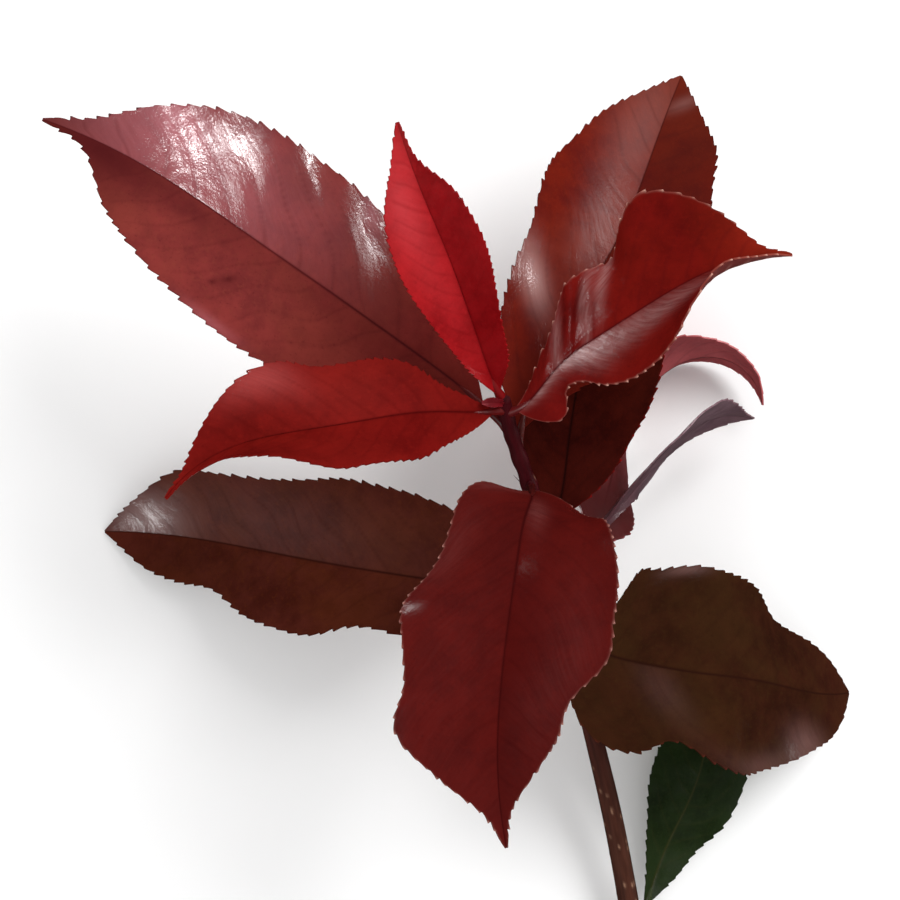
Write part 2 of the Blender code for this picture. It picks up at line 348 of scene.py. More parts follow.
def smooth(piece: bpy.types.Object, angle: float) -> None:
    """Shades a piece smooth apart from edges over an angle."""
    select(piece)
    bpy.ops.object.shade_smooth_by_angle(angle=math.radians(angle))


def hand_over(piece: bpy.types.Object, node: str | None = None) -> None:
    """Lets a piece ride on the shoot and stand for a node.

    Args:
        piece: the finished piece.
        node: the node that it stands for, if any.
    """
    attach(piece, BODY)
    if node:
        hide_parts(node)
    LOG.info("%s: %d faces", piece.name, len(piece.data.polygons))


@dataclass
class Look:
    """A material in the making, with the nodes that all finishes share.

    Attributes:
        name: the material's name.
    """

    name: str

    def __post_init__(self) -> None:
        """Starts the material with an empty tree."""
        self.material = bpy.data.materials.new(self.name)
        self.material.use_nodes = True
        self.material.node_tree.nodes.clear()

    def add(self, kind: str, inputs: dict[Any, Any], out: Any = 0, **settings: Any) -> Any:
        """Output socket of a new shader node of a kind."""
        tree = self.material.node_tree
        return add_node(tree, "ShaderNode" + kind, settings, inputs).outputs[out]

    def stored(self, name: str) -> Any:
        """Socket of a number that is stored on the piece."""
        return self.add("Attribute", {}, "Fac", attribute_name=name)

    def reckon(self, kind: str, first: Any, second: Any) -> Any:
        """Socket of the sum or the product of two numbers."""
        return self.add("Math", {0: first, 1: second}, operation=kind)

    def clouds(self, where: Any, size: float, detail: float, rough: float = 0.5) -> Any:
        """Socket of clouds of a size in mm."""
        inputs = {"Vector": where, "Scale": UV_SPAN / size, "Detail": detail, "Roughness": rough}
        return self.add("TexNoise", inputs)

    def streaks(self, drawn: float, size: float, detail: float) -> Any:
        """Socket of streaks of a width in mm, drawn out along the piece."""
        along = {"Vector": self.add("UVMap", {}), "Scale": (drawn, 1.0, 1.0)}
        return self.clouds(self.add("Mapping", along), size, detail)

    def net(self, where: Any, size: float) -> Any:
        """Socket of the distance from a net with meshes of a size in mm."""
        inputs = {"Vector": where, "Scale": UV_SPAN / size}
        return self.add("TexVoronoi", inputs, "Distance", feature="DISTANCE_TO_EDGE")

    def spread(
        self, value: Any, source: tuple[float, float], to: tuple[float, float] = (0.0, 1.0),
        kind: str = "LINEAR",
    ) -> Any:
        """Socket of a value brought from one range to another."""
        ends = dict(zip(("From Min", "From Max", "To Min", "To Max"), (*source, *to)))
        return self.add("MapRange", {"Value": value} | ends, interpolation_type=kind)

    def blend(self, share: Any, under: Any, over: Any, kind: str = "MIX") -> Any:
        """Socket of a colour laid over another by a share; each is a socket or a hex value."""
        under, over = (to_linear(c) if isinstance(c, str) else c for c in (under, over))
        return self.add("Mix", {0: share, 6: under, 7: over}, 2, data_type="RGBA", blend_type=kind)

    def bump(self, height: Any, rise: float, **more: Any) -> Any:
        """Socket of the normal on a relief that rises by so many mm."""
        return self.add("Bump", {"Distance": rise * MM, "Height": height} | more)

    def close(self, inputs: dict[str, Any]) -> bpy.types.Material:
        """Gives the surface its shader.

        Args:
            inputs: values or sockets for the shader's inputs.

        Returns:
            The material.
        """
        surface = {"Surface": self.add("BsdfPrincipled", inputs)}
        add_node(self.material.node_tree, "ShaderNodeOutputMaterial", {}, surface)
        return self.material


@dataclass(frozen=True)
class StemShape:
    """Centre line and radii of the stem, in plan mm.

    Attributes:
        stations: distances of the leaves from the stem's tip.
    """

    stations: tuple[float, ...]

    def line(self) -> tuple[Array, Array]:
        """Works out the centre line.

        Returns:
            Distances from the tip, and the points there.
        """
        line = np.array(STEM_LINE)
        chords = np.linalg.norm(np.diff(line, axis=0), axis=1)
        chords = np.concatenate([[0.0], np.cumsum(chords)])
        fine = np.linspace(0.0, chords[-1], FINE_STEPS)
        points = curve(chords, line, fine)
        steps = np.linalg.norm(np.diff(points, axis=0), axis=1)
        return np.concatenate([[0.0], np.cumsum(steps)]), points

    def length(self) -> float:
        """Length of the centre line."""
        return float(self.line()[0][-1])

    def at(self, station: float) -> tuple[Array, Array]:
        """Reads the centre line at a station.

        Args:
            station: the distance from the tip.

        Returns:
            The point and the direction to the tip there.
        """
        distances, points = self.line()
        ahead = read_off(distances, points, max(station - 1.0, 0.0))
        behind = read_off(distances, points, station + 1.0)
        return read_off(distances, points, station), unit(ahead - behind)

    def radius(self, station: Any) -> Array:
        """Radius of the stem, swollen where a leaf stands.

        Args:
            station: distances from the tip.

        Returns:
            The radii there.
        """
        station = np.asarray(station, float)
        share = np.clip(station / self.length(), 0.0, 1.0)
        radius = STEM_TIP_RADIUS + (STEM_CUT_RADIUS - STEM_TIP_RADIUS) * share**STEM_TAPER
        swell = [np.exp(-(((station - s) / NODE_SPAN) ** 2)) for s in self.stations]
        return radius + NODE_SWELL * np.minimum(np.sum(swell, axis=0), 1.0)


@dataclass(frozen=True)
class Crease:
    """A ridge or furrow that runs from the midrib to the margin of one half of a blade.

    Attributes:
        side: the half that it is on.
        start: its share of the blade's length at the midrib.
        end: its share at the margin.
        height: how far it rises, or sinks if it is negative.
        ahead: half its width on the side of the tip.
        behind: half its width on the side of the base.
        inner: share of the way across where it begins.
        full: share of the way across where it has its full height.
    """

    side: Side
    start: float
    end: float
    height: float
    ahead: float
    behind: float
    inner: float = 0.1
    full: float = 0.6

    def lift(self, length: float, share: Array, y: Array) -> Array:
        """Height that it adds to the blade.

        Args:
            length: the blade's length.
            share: shares along the blade.
            y: places across it, 1 at the left margin and -1 at the right.

        Returns:
            The added heights.
        """
        across = np.abs(y)
        off = (share - self.start - (self.end - self.start) * across) * length
        off = off / np.where(off > 0, self.ahead, self.behind)
        ramp = smooth_step(self.inner, self.full, across) * (y * self.side.value > 0)
        return self.height * ramp * np.exp(-(off**2))


@dataclass(frozen=True)
class Patch:
    """A patch that lies along the side veins; patches give clear gloss, painted sheen and painted
    shade.

    Attributes:
        share: its middle's share of the blade's length.
        y: its middle's place across, 1 at the left margin and -1 at the right.
        along: half its size along the midrib.
        across: half its size across the blade.
        weight: how strongly it shows, 0 to 1.
    """

    share: float
    y: float
    along: float
    across: float
    weight: float = 1.0

    def cover(self, length: float, width: Array, lean: float, share: Array, y: Array) -> Array:
        """How strongly the patch shows at each point of the blade.

        Args:
            length: the blade's length.
            width: its half width at each point.
            lean: how far the side veins run ahead for each mm that they run out.
            share: shares along the blade.
            y: places across it, 1 at the left margin and -1 at the right.

        Returns:
            The weights, 0 on the other half of the blade.
        """
        out = (np.abs(y) - abs(self.y)) * width
        on = (share - self.share) * length - lean * out
        fall = np.exp(-((on / self.along) ** 2) - (out / self.across) ** 2)
        return self.weight * fall * (y * self.y > 0)


@dataclass(frozen=True)
class LeafShape:
    """Size and attitude of one leaf, in the rule that its solid follows.

    Attributes:
        station: distance of its node from the stem's tip.
        stalk: length of its stalk.
        length: length of its blade.
        headings: at the stem, and at 0, 1/3, 2/3 and 1 of the blade.
        pitches: at the same places.
        rolls: at 0, 1/3, 2/3 and 1 of the blade.
        folds: rise of both halves from the midrib, at the same places.
        left: half widths of the left half at even steps.
        right: half widths of the right half.
        lift_left: how far the left margin stands out of the plane, at even steps.
        lift_right: the same for the right margin.
    """

    station: float
    stalk: float
    length: float
    headings: tuple[float, ...]
    pitches: tuple[float, ...]
    rolls: tuple[float, ...]
    folds: tuple[float, ...]
    left: tuple[float, ...]
    right: tuple[float, ...]
    lift_left: tuple[float, ...] = (0.0,)
    lift_right: tuple[float, ...] = (0.0,)

    def path(self, stem: StemShape) -> tuple[Array, ...]:
        """Centre line from the stem's axis to the tip.

        Args:
            stem: the stem that the leaf stands on.

        Returns:
            Distances, points, and the directions ahead, left and out of the upper face.
        """
        knots = [0.0] + [self.stalk + self.length * k / 3 for k in range(4)]
        along = np.linspace(0.0, self.stalk + self.length, FINE_STEPS)
        heading = np.radians(hermite(knots, self.headings, along))
        pitch = np.radians(hermite(knots, self.pitches, along))
        roll = np.radians(hermite(knots[1:], self.rolls, along))
        none = np.zeros(FINE_STEPS)
        level = np.stack([np.cos(heading), np.sin(heading), none], axis=1)
        side = np.stack([-np.sin(heading), np.cos(heading), none], axis=1)
        rise = np.array([0.0, 0.0, 1.0])
        ahead = np.cos(pitch)[:, None] * level + np.sin(pitch)[:, None] * rise
        upper = -np.sin(pitch)[:, None] * level + np.cos(pitch)[:, None] * rise
        left = np.cos(roll)[:, None] * side + np.sin(roll)[:, None] * upper
        face = -np.sin(roll)[:, None] * side + np.cos(roll)[:, None] * upper
        run = (ahead[1:] + ahead[:-1]) * 0.5 * (along[1] - along[0])
        start = stem.at(self.station)[0]
        points = start + np.concatenate([np.zeros((1, 3)), np.cumsum(run, axis=0)])
        return along, points, ahead, left, face

    @staticmethod
    def by_side(
        halves: tuple[Any, ...], ends: tuple[float, float], share: Array, y: Array
    ) -> Array:
        """Values of the half on the side of y.

        Args:
            halves: values of the left and of the right half, at even steps.
            ends: values at the base and at the tip.
            share: shares along the blade.
            y: places across it, 1 at the left margin and -1 at the right.

        Returns:
            The values read off at each point.
        """
        read = []
        for half in halves:
            values = (ends[0],) + half + (ends[1],)
            read.append(hermite(np.linspace(0, 1, len(values)), values, share))
        return np.where(y >= 0, read[0], read[1])

    def half_width(self, share: Array, y: Array) -> Array:
        """Half width of the blade on the side of y."""
        ends = (STALK_RADIUS, TIP_HALF_WIDTH)
        return np.maximum(self.by_side((self.left, self.right), ends, share, y), TIP_HALF_WIDTH)

    def margin_lift(self, share: Array, y: Array) -> Array:
        """Lift of the wavy margin on the side of y."""
        return self.by_side((self.lift_left, self.lift_right), (0.0, 0.0), share, y)


@dataclass(frozen=True)
class LeafFinish:
    """Colours and gloss of a leathery photinia leaf with its waxy skin, and the colour of its
    painted sheen.

    Attributes:
        name: the leaf's state, which names its materials.
        slot: the record's slot; not used.
        light: colour of the lamina where it is fresh.
        deep: colour where it is dark, between the light patches.
        patch: colour of the large patches that break it up.
        vein: colour of the midrib and, fainter, of the side veins.
        margin: colour of the teeth's tips and, fainter, of the very edge; where it is pale, it is a
            painted glint on the tips.
        under: colour of the dull lower face.
        foot: colour towards the base; on the rose and purple-grey leaves it is painted shade.
        tip: colour towards the tip.
        footing: how strongly the foot's colour shows.
        tipping: how strongly the tip's colour shows.
        patches: how strongly the patches show, 0 to 1.
        roughness: roughness of the waxy upper skin.
        shine: how much light the skin mirrors, 0.5 for clear wax.
        bloom: colour of the painted sheen and painted highlights.
        streaking: how far the painted sheen breaks up into streaks, 0 to 1.
        foot_reach: share of the blade's length that the foot's colour reaches.
    """

    name: str
    slot: Slot
    light: str
    deep: str
    patch: str
    vein: str
    margin: str
    under: str
    foot: str
    tip: str
    footing: float = 0.3
    tipping: float = 0.3
    patches: float = 0.4
    roughness: float = 0.22
    shine: float = 0.5
    bloom: str = "#a87c7c"
    streaking: float = 0.2
    foot_reach: float = 0.45

    # Heights in mm of the wrinkles, the grain, the net of fine veins and the flakes of wax.
    WRINKLE, GRAIN, NET, FLAKE = 0.007, 0.009, 0.004, 0.012
    # Scale along the side veins, under 1 to draw the streaks out.
    DRAWN = 0.16
    # Share of the blade's length where the tip's colour begins.
    TIP_START = 0.72

    def upper(self) -> bpy.types.Material:
        """Upper skin: waxy and grained, mottled, darker on the midrib, with painted sheen streaked
        along the veins and patches of painted shade.

        Returns:
            The material.
        """
        look = Look(f"waxy_upper_skin_{self.name}")
        where = look.add("UVMap", {})
        lane = look.reckon("MULTIPLY", look.stored("lane"), 1 / UV_SPAN)
        reach = look.reckon("MULTIPLY", look.stored("reach"), self.DRAWN / UV_SPAN)
        along = look.add("CombineXYZ", {0: lane, 1: reach})

        def noise(
            size: float, low: float, high: float, most: float = 1.0, detail: float = 3.0,
            at: Any = where,
        ) -> Any:
            """Socket of clouds of a size in mm, spread from 0 to the most between two levels."""
            cloud = look.clouds(at, size, detail, 0.6)
            return look.spread(cloud, (low, high), (0.0, most), "SMOOTHSTEP")

        # Pigment lies in clouds 9 mm wide, in patches 28 mm wide and in flecks of 1.3 and 0.9 mm.
        colour = look.blend(noise(9.0, 0.33, 0.67, 1.0, 4.0), self.light, self.deep)
        share = look.stored("share")
        # The painted sheen lies in streaks 0.9 mm wide along the side veins.
        streaked = noise(0.9, 0.3, 0.7, self.streaking, 4.0, along)
        uneven = look.reckon("ADD", streaked, 1.0 - self.streaking)
        layers = (
            (noise(28.0, 0.42, 0.62, self.patches, 5.0), self.patch),
            (noise(1.3, 0.5, 0.75, 0.4), self.patch),
            (noise(0.9, 0.55, 0.8, 0.45), self.vein),
            # On the rose and purple-grey leaves, the dark foot is painted shade.
            (look.spread(share, (0.0, self.foot_reach), (self.footing, 0.0)), self.foot),
            (look.spread(share, (self.TIP_START, 1.0), (0.0, self.tipping)), self.tip),
            # Painted shade, with leaf_01's two small dark marks, in the midrib's colour.
            (look.stored("dim"), self.vein),
            # Painted sheen and painted highlights, broken into streaks along the veins.
            (look.reckon("MULTIPLY", look.stored("bloom"), uneven), self.bloom),
            (look.stored("vein"), self.vein),
            # Pale tooth tips on the deep crimson and dark red leaves are painted glints.
            (look.stored("edge"), self.margin),
        )
        for cover, over in layers:
            colour = look.blend(cover, colour, over)
        # The skin is grained at 0.8 mm, netted by fine veins at 1.6 mm, and has wrinkles 1.5 mm
        # apart that run along the side veins.
        wrinkled = look.bump(noise(1.5, 0.35, 0.65, 1.0, 2.0, along), self.WRINKLE)
        grained = look.bump(noise(0.8, 0.2, 0.8), self.GRAIN, Normal=wrinkled)
        mesh = look.spread(look.net(where, 1.6), (0.0, 0.2))
        netted = look.bump(mesh, self.NET, Normal=grained)
        # Where the wax is clear, it glitters in flakes of 0.7 mm that are denser along the veins.
        flaked = look.bump(noise(0.7, 0.3, 0.7, 1.0, 2.0), self.FLAKE, Normal=netted)
        flakes = look.reckon("ADD", 0.3, noise(1.1, 0.3, 0.7, 0.7, 3.0, along))
        gloss = (self.roughness - 0.04, self.roughness + 0.06)
        return look.close({
            "Base Color": colour,
            "Roughness": look.spread(noise(5.0, 0.3, 0.7, 1.0, 5.0), (0.0, 1.0), gloss),
            "IOR": 1.45, "Specular IOR Level": self.shine, "Normal": netted,
            "Coat Weight": look.reckon("MULTIPLY", look.stored("wax"), flakes),
            "Coat Roughness": 0.16, "Coat IOR": 1.5, "Coat Normal": flaked,
        })

    def lower(self) -> bpy.types.Material:
        """Lower face: pale, dull and finely netted, with the rib standing out and patches of
        painted shade.

        Returns:
            The material.
        """
        look = Look(f"dull_lower_face_{self.name}")
        where = look.add("UVMap", {})
        colour = look.blend(look.clouds(where, 12.0, 4.0), self.under, self.light)
        # Painted shade, with leaf_01's two small dark marks, in the midrib's colour.
        colour = look.blend(look.stored("dim"), colour, self.vein)
        colour = look.blend(look.stored("vein"), colour, self.margin)
        net = {"Strength": 0.25, "Distance": 0.08 * MM, "Height": look.net(where, 1.4)}
        return look.close({
            "Base Color": colour, "Roughness": 0.55, "IOR": 1.4, "Specular IOR Level": 0.2,
            "Normal": look.add("Bump", net, invert=True),
        })

    def stalk(self) -> bpy.types.Material:
        """Stalk and rib: smooth, satin, streaked along their length.

        Returns:
            The material.
        """
        look = Look(f"satin_stalk_{self.name}")
        colour = look.blend(look.streaks(0.15, 0.8, 3.0), self.vein, self.foot)
        return look.close(
            {"Base Color": colour, "Roughness": 0.38, "IOR": 1.45, "Specular IOR Level": 0.15}
        )


@dataclass(frozen=True)
class Leaf:
    """One leaf: toothed blade, rib and stalk.

    Attributes:
        name: the node that it stands for.
        shape: its size and attitude.
        finish: its colours.
        veins: pairs of side veins.
        tooth_pitch: spacing of the teeth.
        tooth: their height.
        quilt: how far the lamina puffs up between side veins.
        ripple: height of broad uneven ripples.
        wrinkle: height of fine wrinkles.
        creases: the single folds that show.
        polish: the patches of clear gloss.
        blooms: the patches of painted sheen and painted highlights.
        dims: the patches of painted shade, as dark as the midrib, with two small dark marks of
            leaf_01's own.
        seed: picks its ripples.
        row: length of one division of the blade.
        columns: divisions across the blade.
    """

    name: str
    shape: LeafShape
    finish: LeafFinish
    seed: int
    veins: int = 11
    tooth_pitch: float = 3.2
    tooth: float = 0.7
    quilt: float = 0.035
    ripple: float = 0.1
    wrinkle: float = 0.006
    creases: tuple[Crease, ...] = ()
    polish: tuple[Patch, ...] = ()
    blooms: tuple[Patch, ...] = ()
    dims: tuple[Patch, ...] = ()
    row: float = 0.36
    columns: int = 72

    THICKNESS = 0.42
    COLUMN_CROWDING = 0.6
    VEIN_ANGLE = 56.0
    VEIN_BEND = 0.55
    VEIN_HALF_WIDTH = 0.45
    VEIN_DEPTH = 0.035
    VEIN_TINT = 0.22
    # Shares of the veins' pitch that they sway by, and that the right half's are shifted by.
    VEIN_SWAY, VEIN_SHIFT = 0.14, 0.45
    # Side veins fade out between these places across; all relief grows and fades along these.
    VEIN_FADE, BASE_RISE, TIP_FADE = (0.7, 0.95), (0.02, 0.08), (0.9, 1.0)
    RIB_HALF_WIDTH = 0.4
    RIB_DEPTH = 0.05
    # Wavelengths in mm of the sway, the puffing, the ripples, those of the margin, the wrinkles,
    # the spacing of the teeth and their size.
    SWAY_WAVE, PUFF_WAVE, RIPPLE_WAVE, MARGIN_WAVE, WRINKLE_WAVE = 26.0, 23.0, 17.0, 11.0, 3.4
    PITCH_WAVE, TOOTH_WAVE = 21.0, 9.0
    # Teeth stand between these shares of the length. They climb, and fall in the last share of
    # their pitch; they stand about their mean and lean ahead.
    TEETH_RISE, TEETH_FADE = (0.03, 0.10), (0.955, 0.985)
    TOOTH_FALL, TOOTH_CURVE, TOOTH_MEAN, TOOTH_LEAN = 0.1, 1.25, 0.45, 0.5
    # How far in mm the teeth pull the blade along, the width of its edge, and the edge's tint.
    TOOTH_REACH, EDGE_WIDTH, EDGE_TINT = 0.7, 0.25, 0.08
    STALK_SIDES = 20
    STALK_STEP = 0.8
    SUNK = 0.5
    # A blade shorter than FULL_BLADE has a thinner stalk, down to the least share.
    FULL_BLADE, LEAST_STALK = 60.0, 0.3
    # The rib ends at this share of the blade, having lost this share of its radius.
    RIB_END, RIB_TAPER = 0.97, 0.78
    # The stalk's foot is wider by this share, over so many mm.
    FOOT_SWELL, FOOT_SPAN = 0.35, 1.6

    def veins_at(self, share: Array, y: Array) -> tuple[Array, Array]:
        """Place of each point among the side veins.

        Args:
            share: shares along the blade.
            y: places across it, 1 at the left margin and -1 at the right.

        Returns:
            How many veins lie between the point and the blade's base, and its distance along
            them from the midrib.
        """
        shape = self.shape
        a = share * shape.length
        b = np.abs(y) * shape.half_width(share, y)
        widest = max(shape.left + shape.right)
        angle = math.radians(self.VEIN_ANGLE)
        sway = self.VEIN_SWAY * waves(a, np.sign(y) * b, self.SWAY_WAVE, self.seed)
        phase = (a - b / math.tan(angle) - self.VEIN_BEND * b**2 / widest) / self.vein_pitch()
        phase = phase + sway * np.minimum(np.abs(y) * 3, 1) + self.VEIN_SHIFT * (y < 0)
        return phase, b / math.sin(angle)

    def cover(self, patches: tuple[Patch, ...], share: Array, y: Array) -> Array:
        """How strongly patches of skin show at each point, all together and at most 1.

        Args:
            patches: the patches.
            share: shares along the blade.
            y: places across it, 1 at the left margin and -1 at the right.

        Returns:
            The weights.
        """
        lean = 1 / math.tan(math.radians(self.VEIN_ANGLE))
        width = self.shape.half_width(share, y)
        total = np.zeros(len(share))
        for patch in patches:
            total += patch.cover(self.shape.length, width, lean, share, y)
        return np.clip(total, 0, 1)

    def vein_pitch(self) -> float:
        """Distance between side veins along the midrib."""
        return 0.92 * self.shape.length / self.veins

    def relief(self, share: Array, y: Array) -> tuple[Array, Array]:
        """Height of the veins, quilting, ripples and creases above the smooth blade.

        Args:
            share: shares along the blade.
            y: places across it, 1 at the left margin and -1 at the right.

        Returns:
            The heights in mm, and how much each point lies on a vein.
        """
        shape = self.shape
        across = np.abs(y)
        a = share * shape.length
        b = across * shape.half_width(share, y)
        side = np.sign(y) * b
        phase = self.veins_at(share, y)[0]
        slant = math.sin(math.radians(self.VEIN_ANGLE))
        off = np.abs(phase - np.round(phase)) * self.vein_pitch() * slant
        ends = smooth_step(*self.BASE_RISE, share) * (1 - smooth_step(*self.TIP_FADE, share))
        inside = (1 - smooth_step(*self.VEIN_FADE, across)) * ends
        vein = np.exp(-((off / self.VEIN_HALF_WIDTH) ** 2)) * inside
        rib = np.exp(-((b / (self.RIB_HALF_WIDTH * (1.1 - 0.7 * share))) ** 2))
        puff = 0.5 * (1 - np.cos(2 * np.pi * phase)) * np.sin(np.pi * np.minimum(across, 1)) ** 0.7
        uneven = 0.6 + 0.5 * waves(a, side, self.PUFF_WAVE, self.seed + 7)
        uneven = np.clip(uneven, 0.0, 2.0)
        height = self.quilt * uneven * puff * ends - self.VEIN_DEPTH * vein
        height -= self.RIB_DEPTH * rib * (1 - 0.5 * share)
        broad = waves(a, side, self.RIPPLE_WAVE, self.seed + 1)
        height += self.ripple * broad * across**1.3 * ends
        frill = waves(a, 0.4 * side, self.MARGIN_WAVE, self.seed + 4)
        height += 0.7 * self.ripple * frill * across**4 * ends
        height += self.wrinkle * waves(a, side, self.WRINKLE_WAVE, self.seed + 2, 40) * ends
        for crease in self.creases:
            height += crease.lift(shape.length, share, y)
        return height, np.maximum(rib, self.VEIN_TINT * vein)

    def teeth(self, share: Array, y: Array) -> tuple[Array, Array, Array]:
        """Shift of the margin into sharp teeth that point to the tip.

        Args:
            share: shares along the blade.
            y: places across it, 1 at the left margin and -1 at the right.

        Returns:
            The shifts in mm ahead and outwards, and how much each point lies on a tooth's tip.
        """
        shape = self.shape
        fine = np.linspace(0, 1, 2401)
        ahead = np.zeros(len(share))
        out = np.zeros(len(share))
        edge = np.zeros(len(share))
        for side in Side:
            width = shape.half_width(fine, np.full(len(fine), side.value))
            slope = np.gradient(width, fine * shape.length)
            steps = np.hypot(np.diff(fine * shape.length), np.diff(width))
            arc = np.concatenate([[0], np.cumsum(steps)])
            seed = self.seed + 5 + int(side.value)
            pace = arc + 0.7 * waves(arc, 0 * arc, self.PITCH_WAVE, seed)
            turn = np.mod(pace / self.tooth_pitch, 1.0)
            climb = 1.0 - self.TOOTH_FALL
            climbing = np.clip(turn / climb, 0, 1) ** self.TOOTH_CURVE
            rise = np.where(turn < climb, climbing, (1 - turn) / self.TOOTH_FALL)
            here = smooth_step(*self.TEETH_RISE, fine) * (1 - smooth_step(*self.TEETH_FADE, fine))
            uneven = 1 + 0.3 * waves(arc, 0 * arc, self.TOOTH_WAVE, self.seed + 8)
            size = self.tooth * here * np.clip(uneven, 0.3, 1.8)
            norm = np.hypot(1, slope)
            out_by, lean = size * (rise - self.TOOTH_MEAN), self.TOOTH_LEAN * size * rise
            lateral = out_by / norm + lean * slope / norm
            forward = -out_by * slope / norm + lean / norm
            mine = y * side.value > 0
            inside = np.interp(share, fine, width) * (1 - np.abs(y))
            near = np.exp(-((inside / self.TOOTH_REACH) ** 1.5)) * mine
            ahead += np.interp(share, fine, forward) * near
            out += np.interp(share, fine, lateral) * near
            rim = np.exp(-((inside / self.EDGE_WIDTH) ** 2)) * mine
            peak = np.interp(share, fine, here * rise**6)
            edge += rim * (self.EDGE_TINT + (1 - self.EDGE_TINT) * peak)
        return ahead, out, np.clip(edge, 0, 1)

    def blade_points(self, stem: StemShape, share: Array, y: Array) -> tuple[Array, Array, Array]:
        """Points of the blade's middle surface with all its relief.

        Args:
            stem: the stem that the leaf stands on.
            share: shares along the blade.
            y: places across it, 1 at the left margin and -1 at the right.

        Returns:
            The points, how much each lies on a vein, and how much on the edge.
        """
        shape = self.shape
        along, points, ahead, left, face = shape.path(stem)
        across = np.abs(y)
        width = shape.half_width(share, y)
        fold = np.radians(hermite(np.linspace(0, 1, len(shape.folds)), shape.folds, share))
        curl = math.radians(BLADE_CURL)
        out = width * (np.sin(fold + curl * across) - np.sin(fold)) / curl
        high = width * (np.cos(fold) - np.cos(fold + curl * across)) / curl
        high = high + shape.margin_lift(share, y) * across**2
        height, vein = self.relief(share, y)
        forward, sideways, edge = self.teeth(share, y)
        lean = fold + curl * across
        out = out + sideways * np.cos(lean) - height * np.sin(lean)
        high = high + sideways * np.sin(lean) + height * np.cos(lean)
        where = shape.stalk + share * shape.length
        spots = read_off(along, points, where) + forward[:, None] * read_off(along, ahead, where)
        spots = spots + (np.sign(y) * out)[:, None] * read_off(along, left, where)
        return spots + high[:, None] * read_off(along, face, where), vein, edge

    def build_blade(self, stem: StemShape) -> bpy.types.Object:
        """Shapes a grid into the blade and gives it its thickness.

        Args:
            stem: the stem that the leaf stands on.

        Returns:
            The blade.
        """
        rows = max(int(round(self.shape.length / self.row)), 40)
        piece, share, across = add_grid(self.name + "_blade", rows, self.columns)
        y = 2 * across - 1
        y = y - self.COLUMN_CROWDING * np.sin(2 * np.pi * y) / (2 * np.pi)
        points, vein, edge = self.blade_points(stem, share, y)
        move_vertices(piece, points)
        beside = self.shape.half_width(share, y) * y
        map_surface(piece, share * self.shape.length, UV_SPAN / 2 + beside)
        lane, reach = self.veins_at(share, y)
        lane = lane * self.vein_pitch() * math.sin(math.radians(self.VEIN_ANGLE))
        # Weights of the clear coat, of the painted sheen, and of the painted shade with leaf_01's
        # two dark marks.
        keep_values(
            piece, vein=vein, edge=edge, lane=lane, reach=reach, share=share,
            wax=self.cover(self.polish, share, y), bloom=self.cover(self.blooms, share, y),
            dim=self.cover(self.dims, share, y),
        )
        dress(piece, self.finish.upper(), self.finish.lower(), self.finish.stalk())
        apply_modifier(
            piece, "SOLIDIFY", thickness=self.THICKNESS * MM, offset=0.0,
            use_even_offset=False, material_offset=1,
        )
        return piece

    def build_stalk(self, stem: StemShape) -> bpy.types.Object:
        """Rolls a grid into the stalk and the rib that it becomes under the blade.

        Args:
            stem: the stem that the leaf stands on.

        Returns:
            The stalk with the rib.
        """
        shape = self.shape
        along, points, ahead, left, face = shape.path(stem)
        start = float(stem.radius(shape.station)) - self.SUNK
        end = shape.stalk + self.RIB_END * shape.length
        rings = max(int((end - start) / self.STALK_STEP), 12)
        piece, share, around = add_grid(self.name + "_stalk", rings, self.STALK_SIDES)
        where = start + share * (end - start)
        blade = np.clip((where - shape.stalk) / shape.length, 0, 1)
        scale = min(1.0, max(shape.length / self.FULL_BLADE, self.LEAST_STALK))
        radius = STALK_RADIUS * scale * (1.0 - self.RIB_TAPER * blade**0.75)
        foot = np.exp(-((where - start) / self.FOOT_SPAN) ** 2)
        radius = radius * (1 + self.FOOT_SWELL * foot)
        turn = 2 * np.pi * around
        drop = (radius * 0.9 + self.RIB_DEPTH * 0.6) * smooth_step(0.0, 0.07, blade)
        sides = (radius * np.cos(turn))[:, None] * read_off(along, left, where)
        heights = (radius * np.sin(turn) - drop)[:, None] * read_off(along, face, where)
        move_vertices(piece, read_off(along, points, where) + sides + heights)
        map_surface(piece, where, turn * radius)
        weld_tube(piece)
        return piece

    def build(self, stem: StemShape) -> bpy.types.Object:
        """Makes the leaf and hands it over.

        Args:
            stem: the stem that the leaf stands on.

        Returns:
            The finished leaf.
        """
        blade = self.build_blade(stem)
        stalk = self.build_stalk(stem)
        dress(stalk, blade.data.materials[2])
        select(blade, stalk)
        bpy.ops.object.join()
        blade.name = blade.data.name = self.name + "_leaf"
        smooth(blade, angle=50.0)
        hand_over(blade, self.name)
        return blade


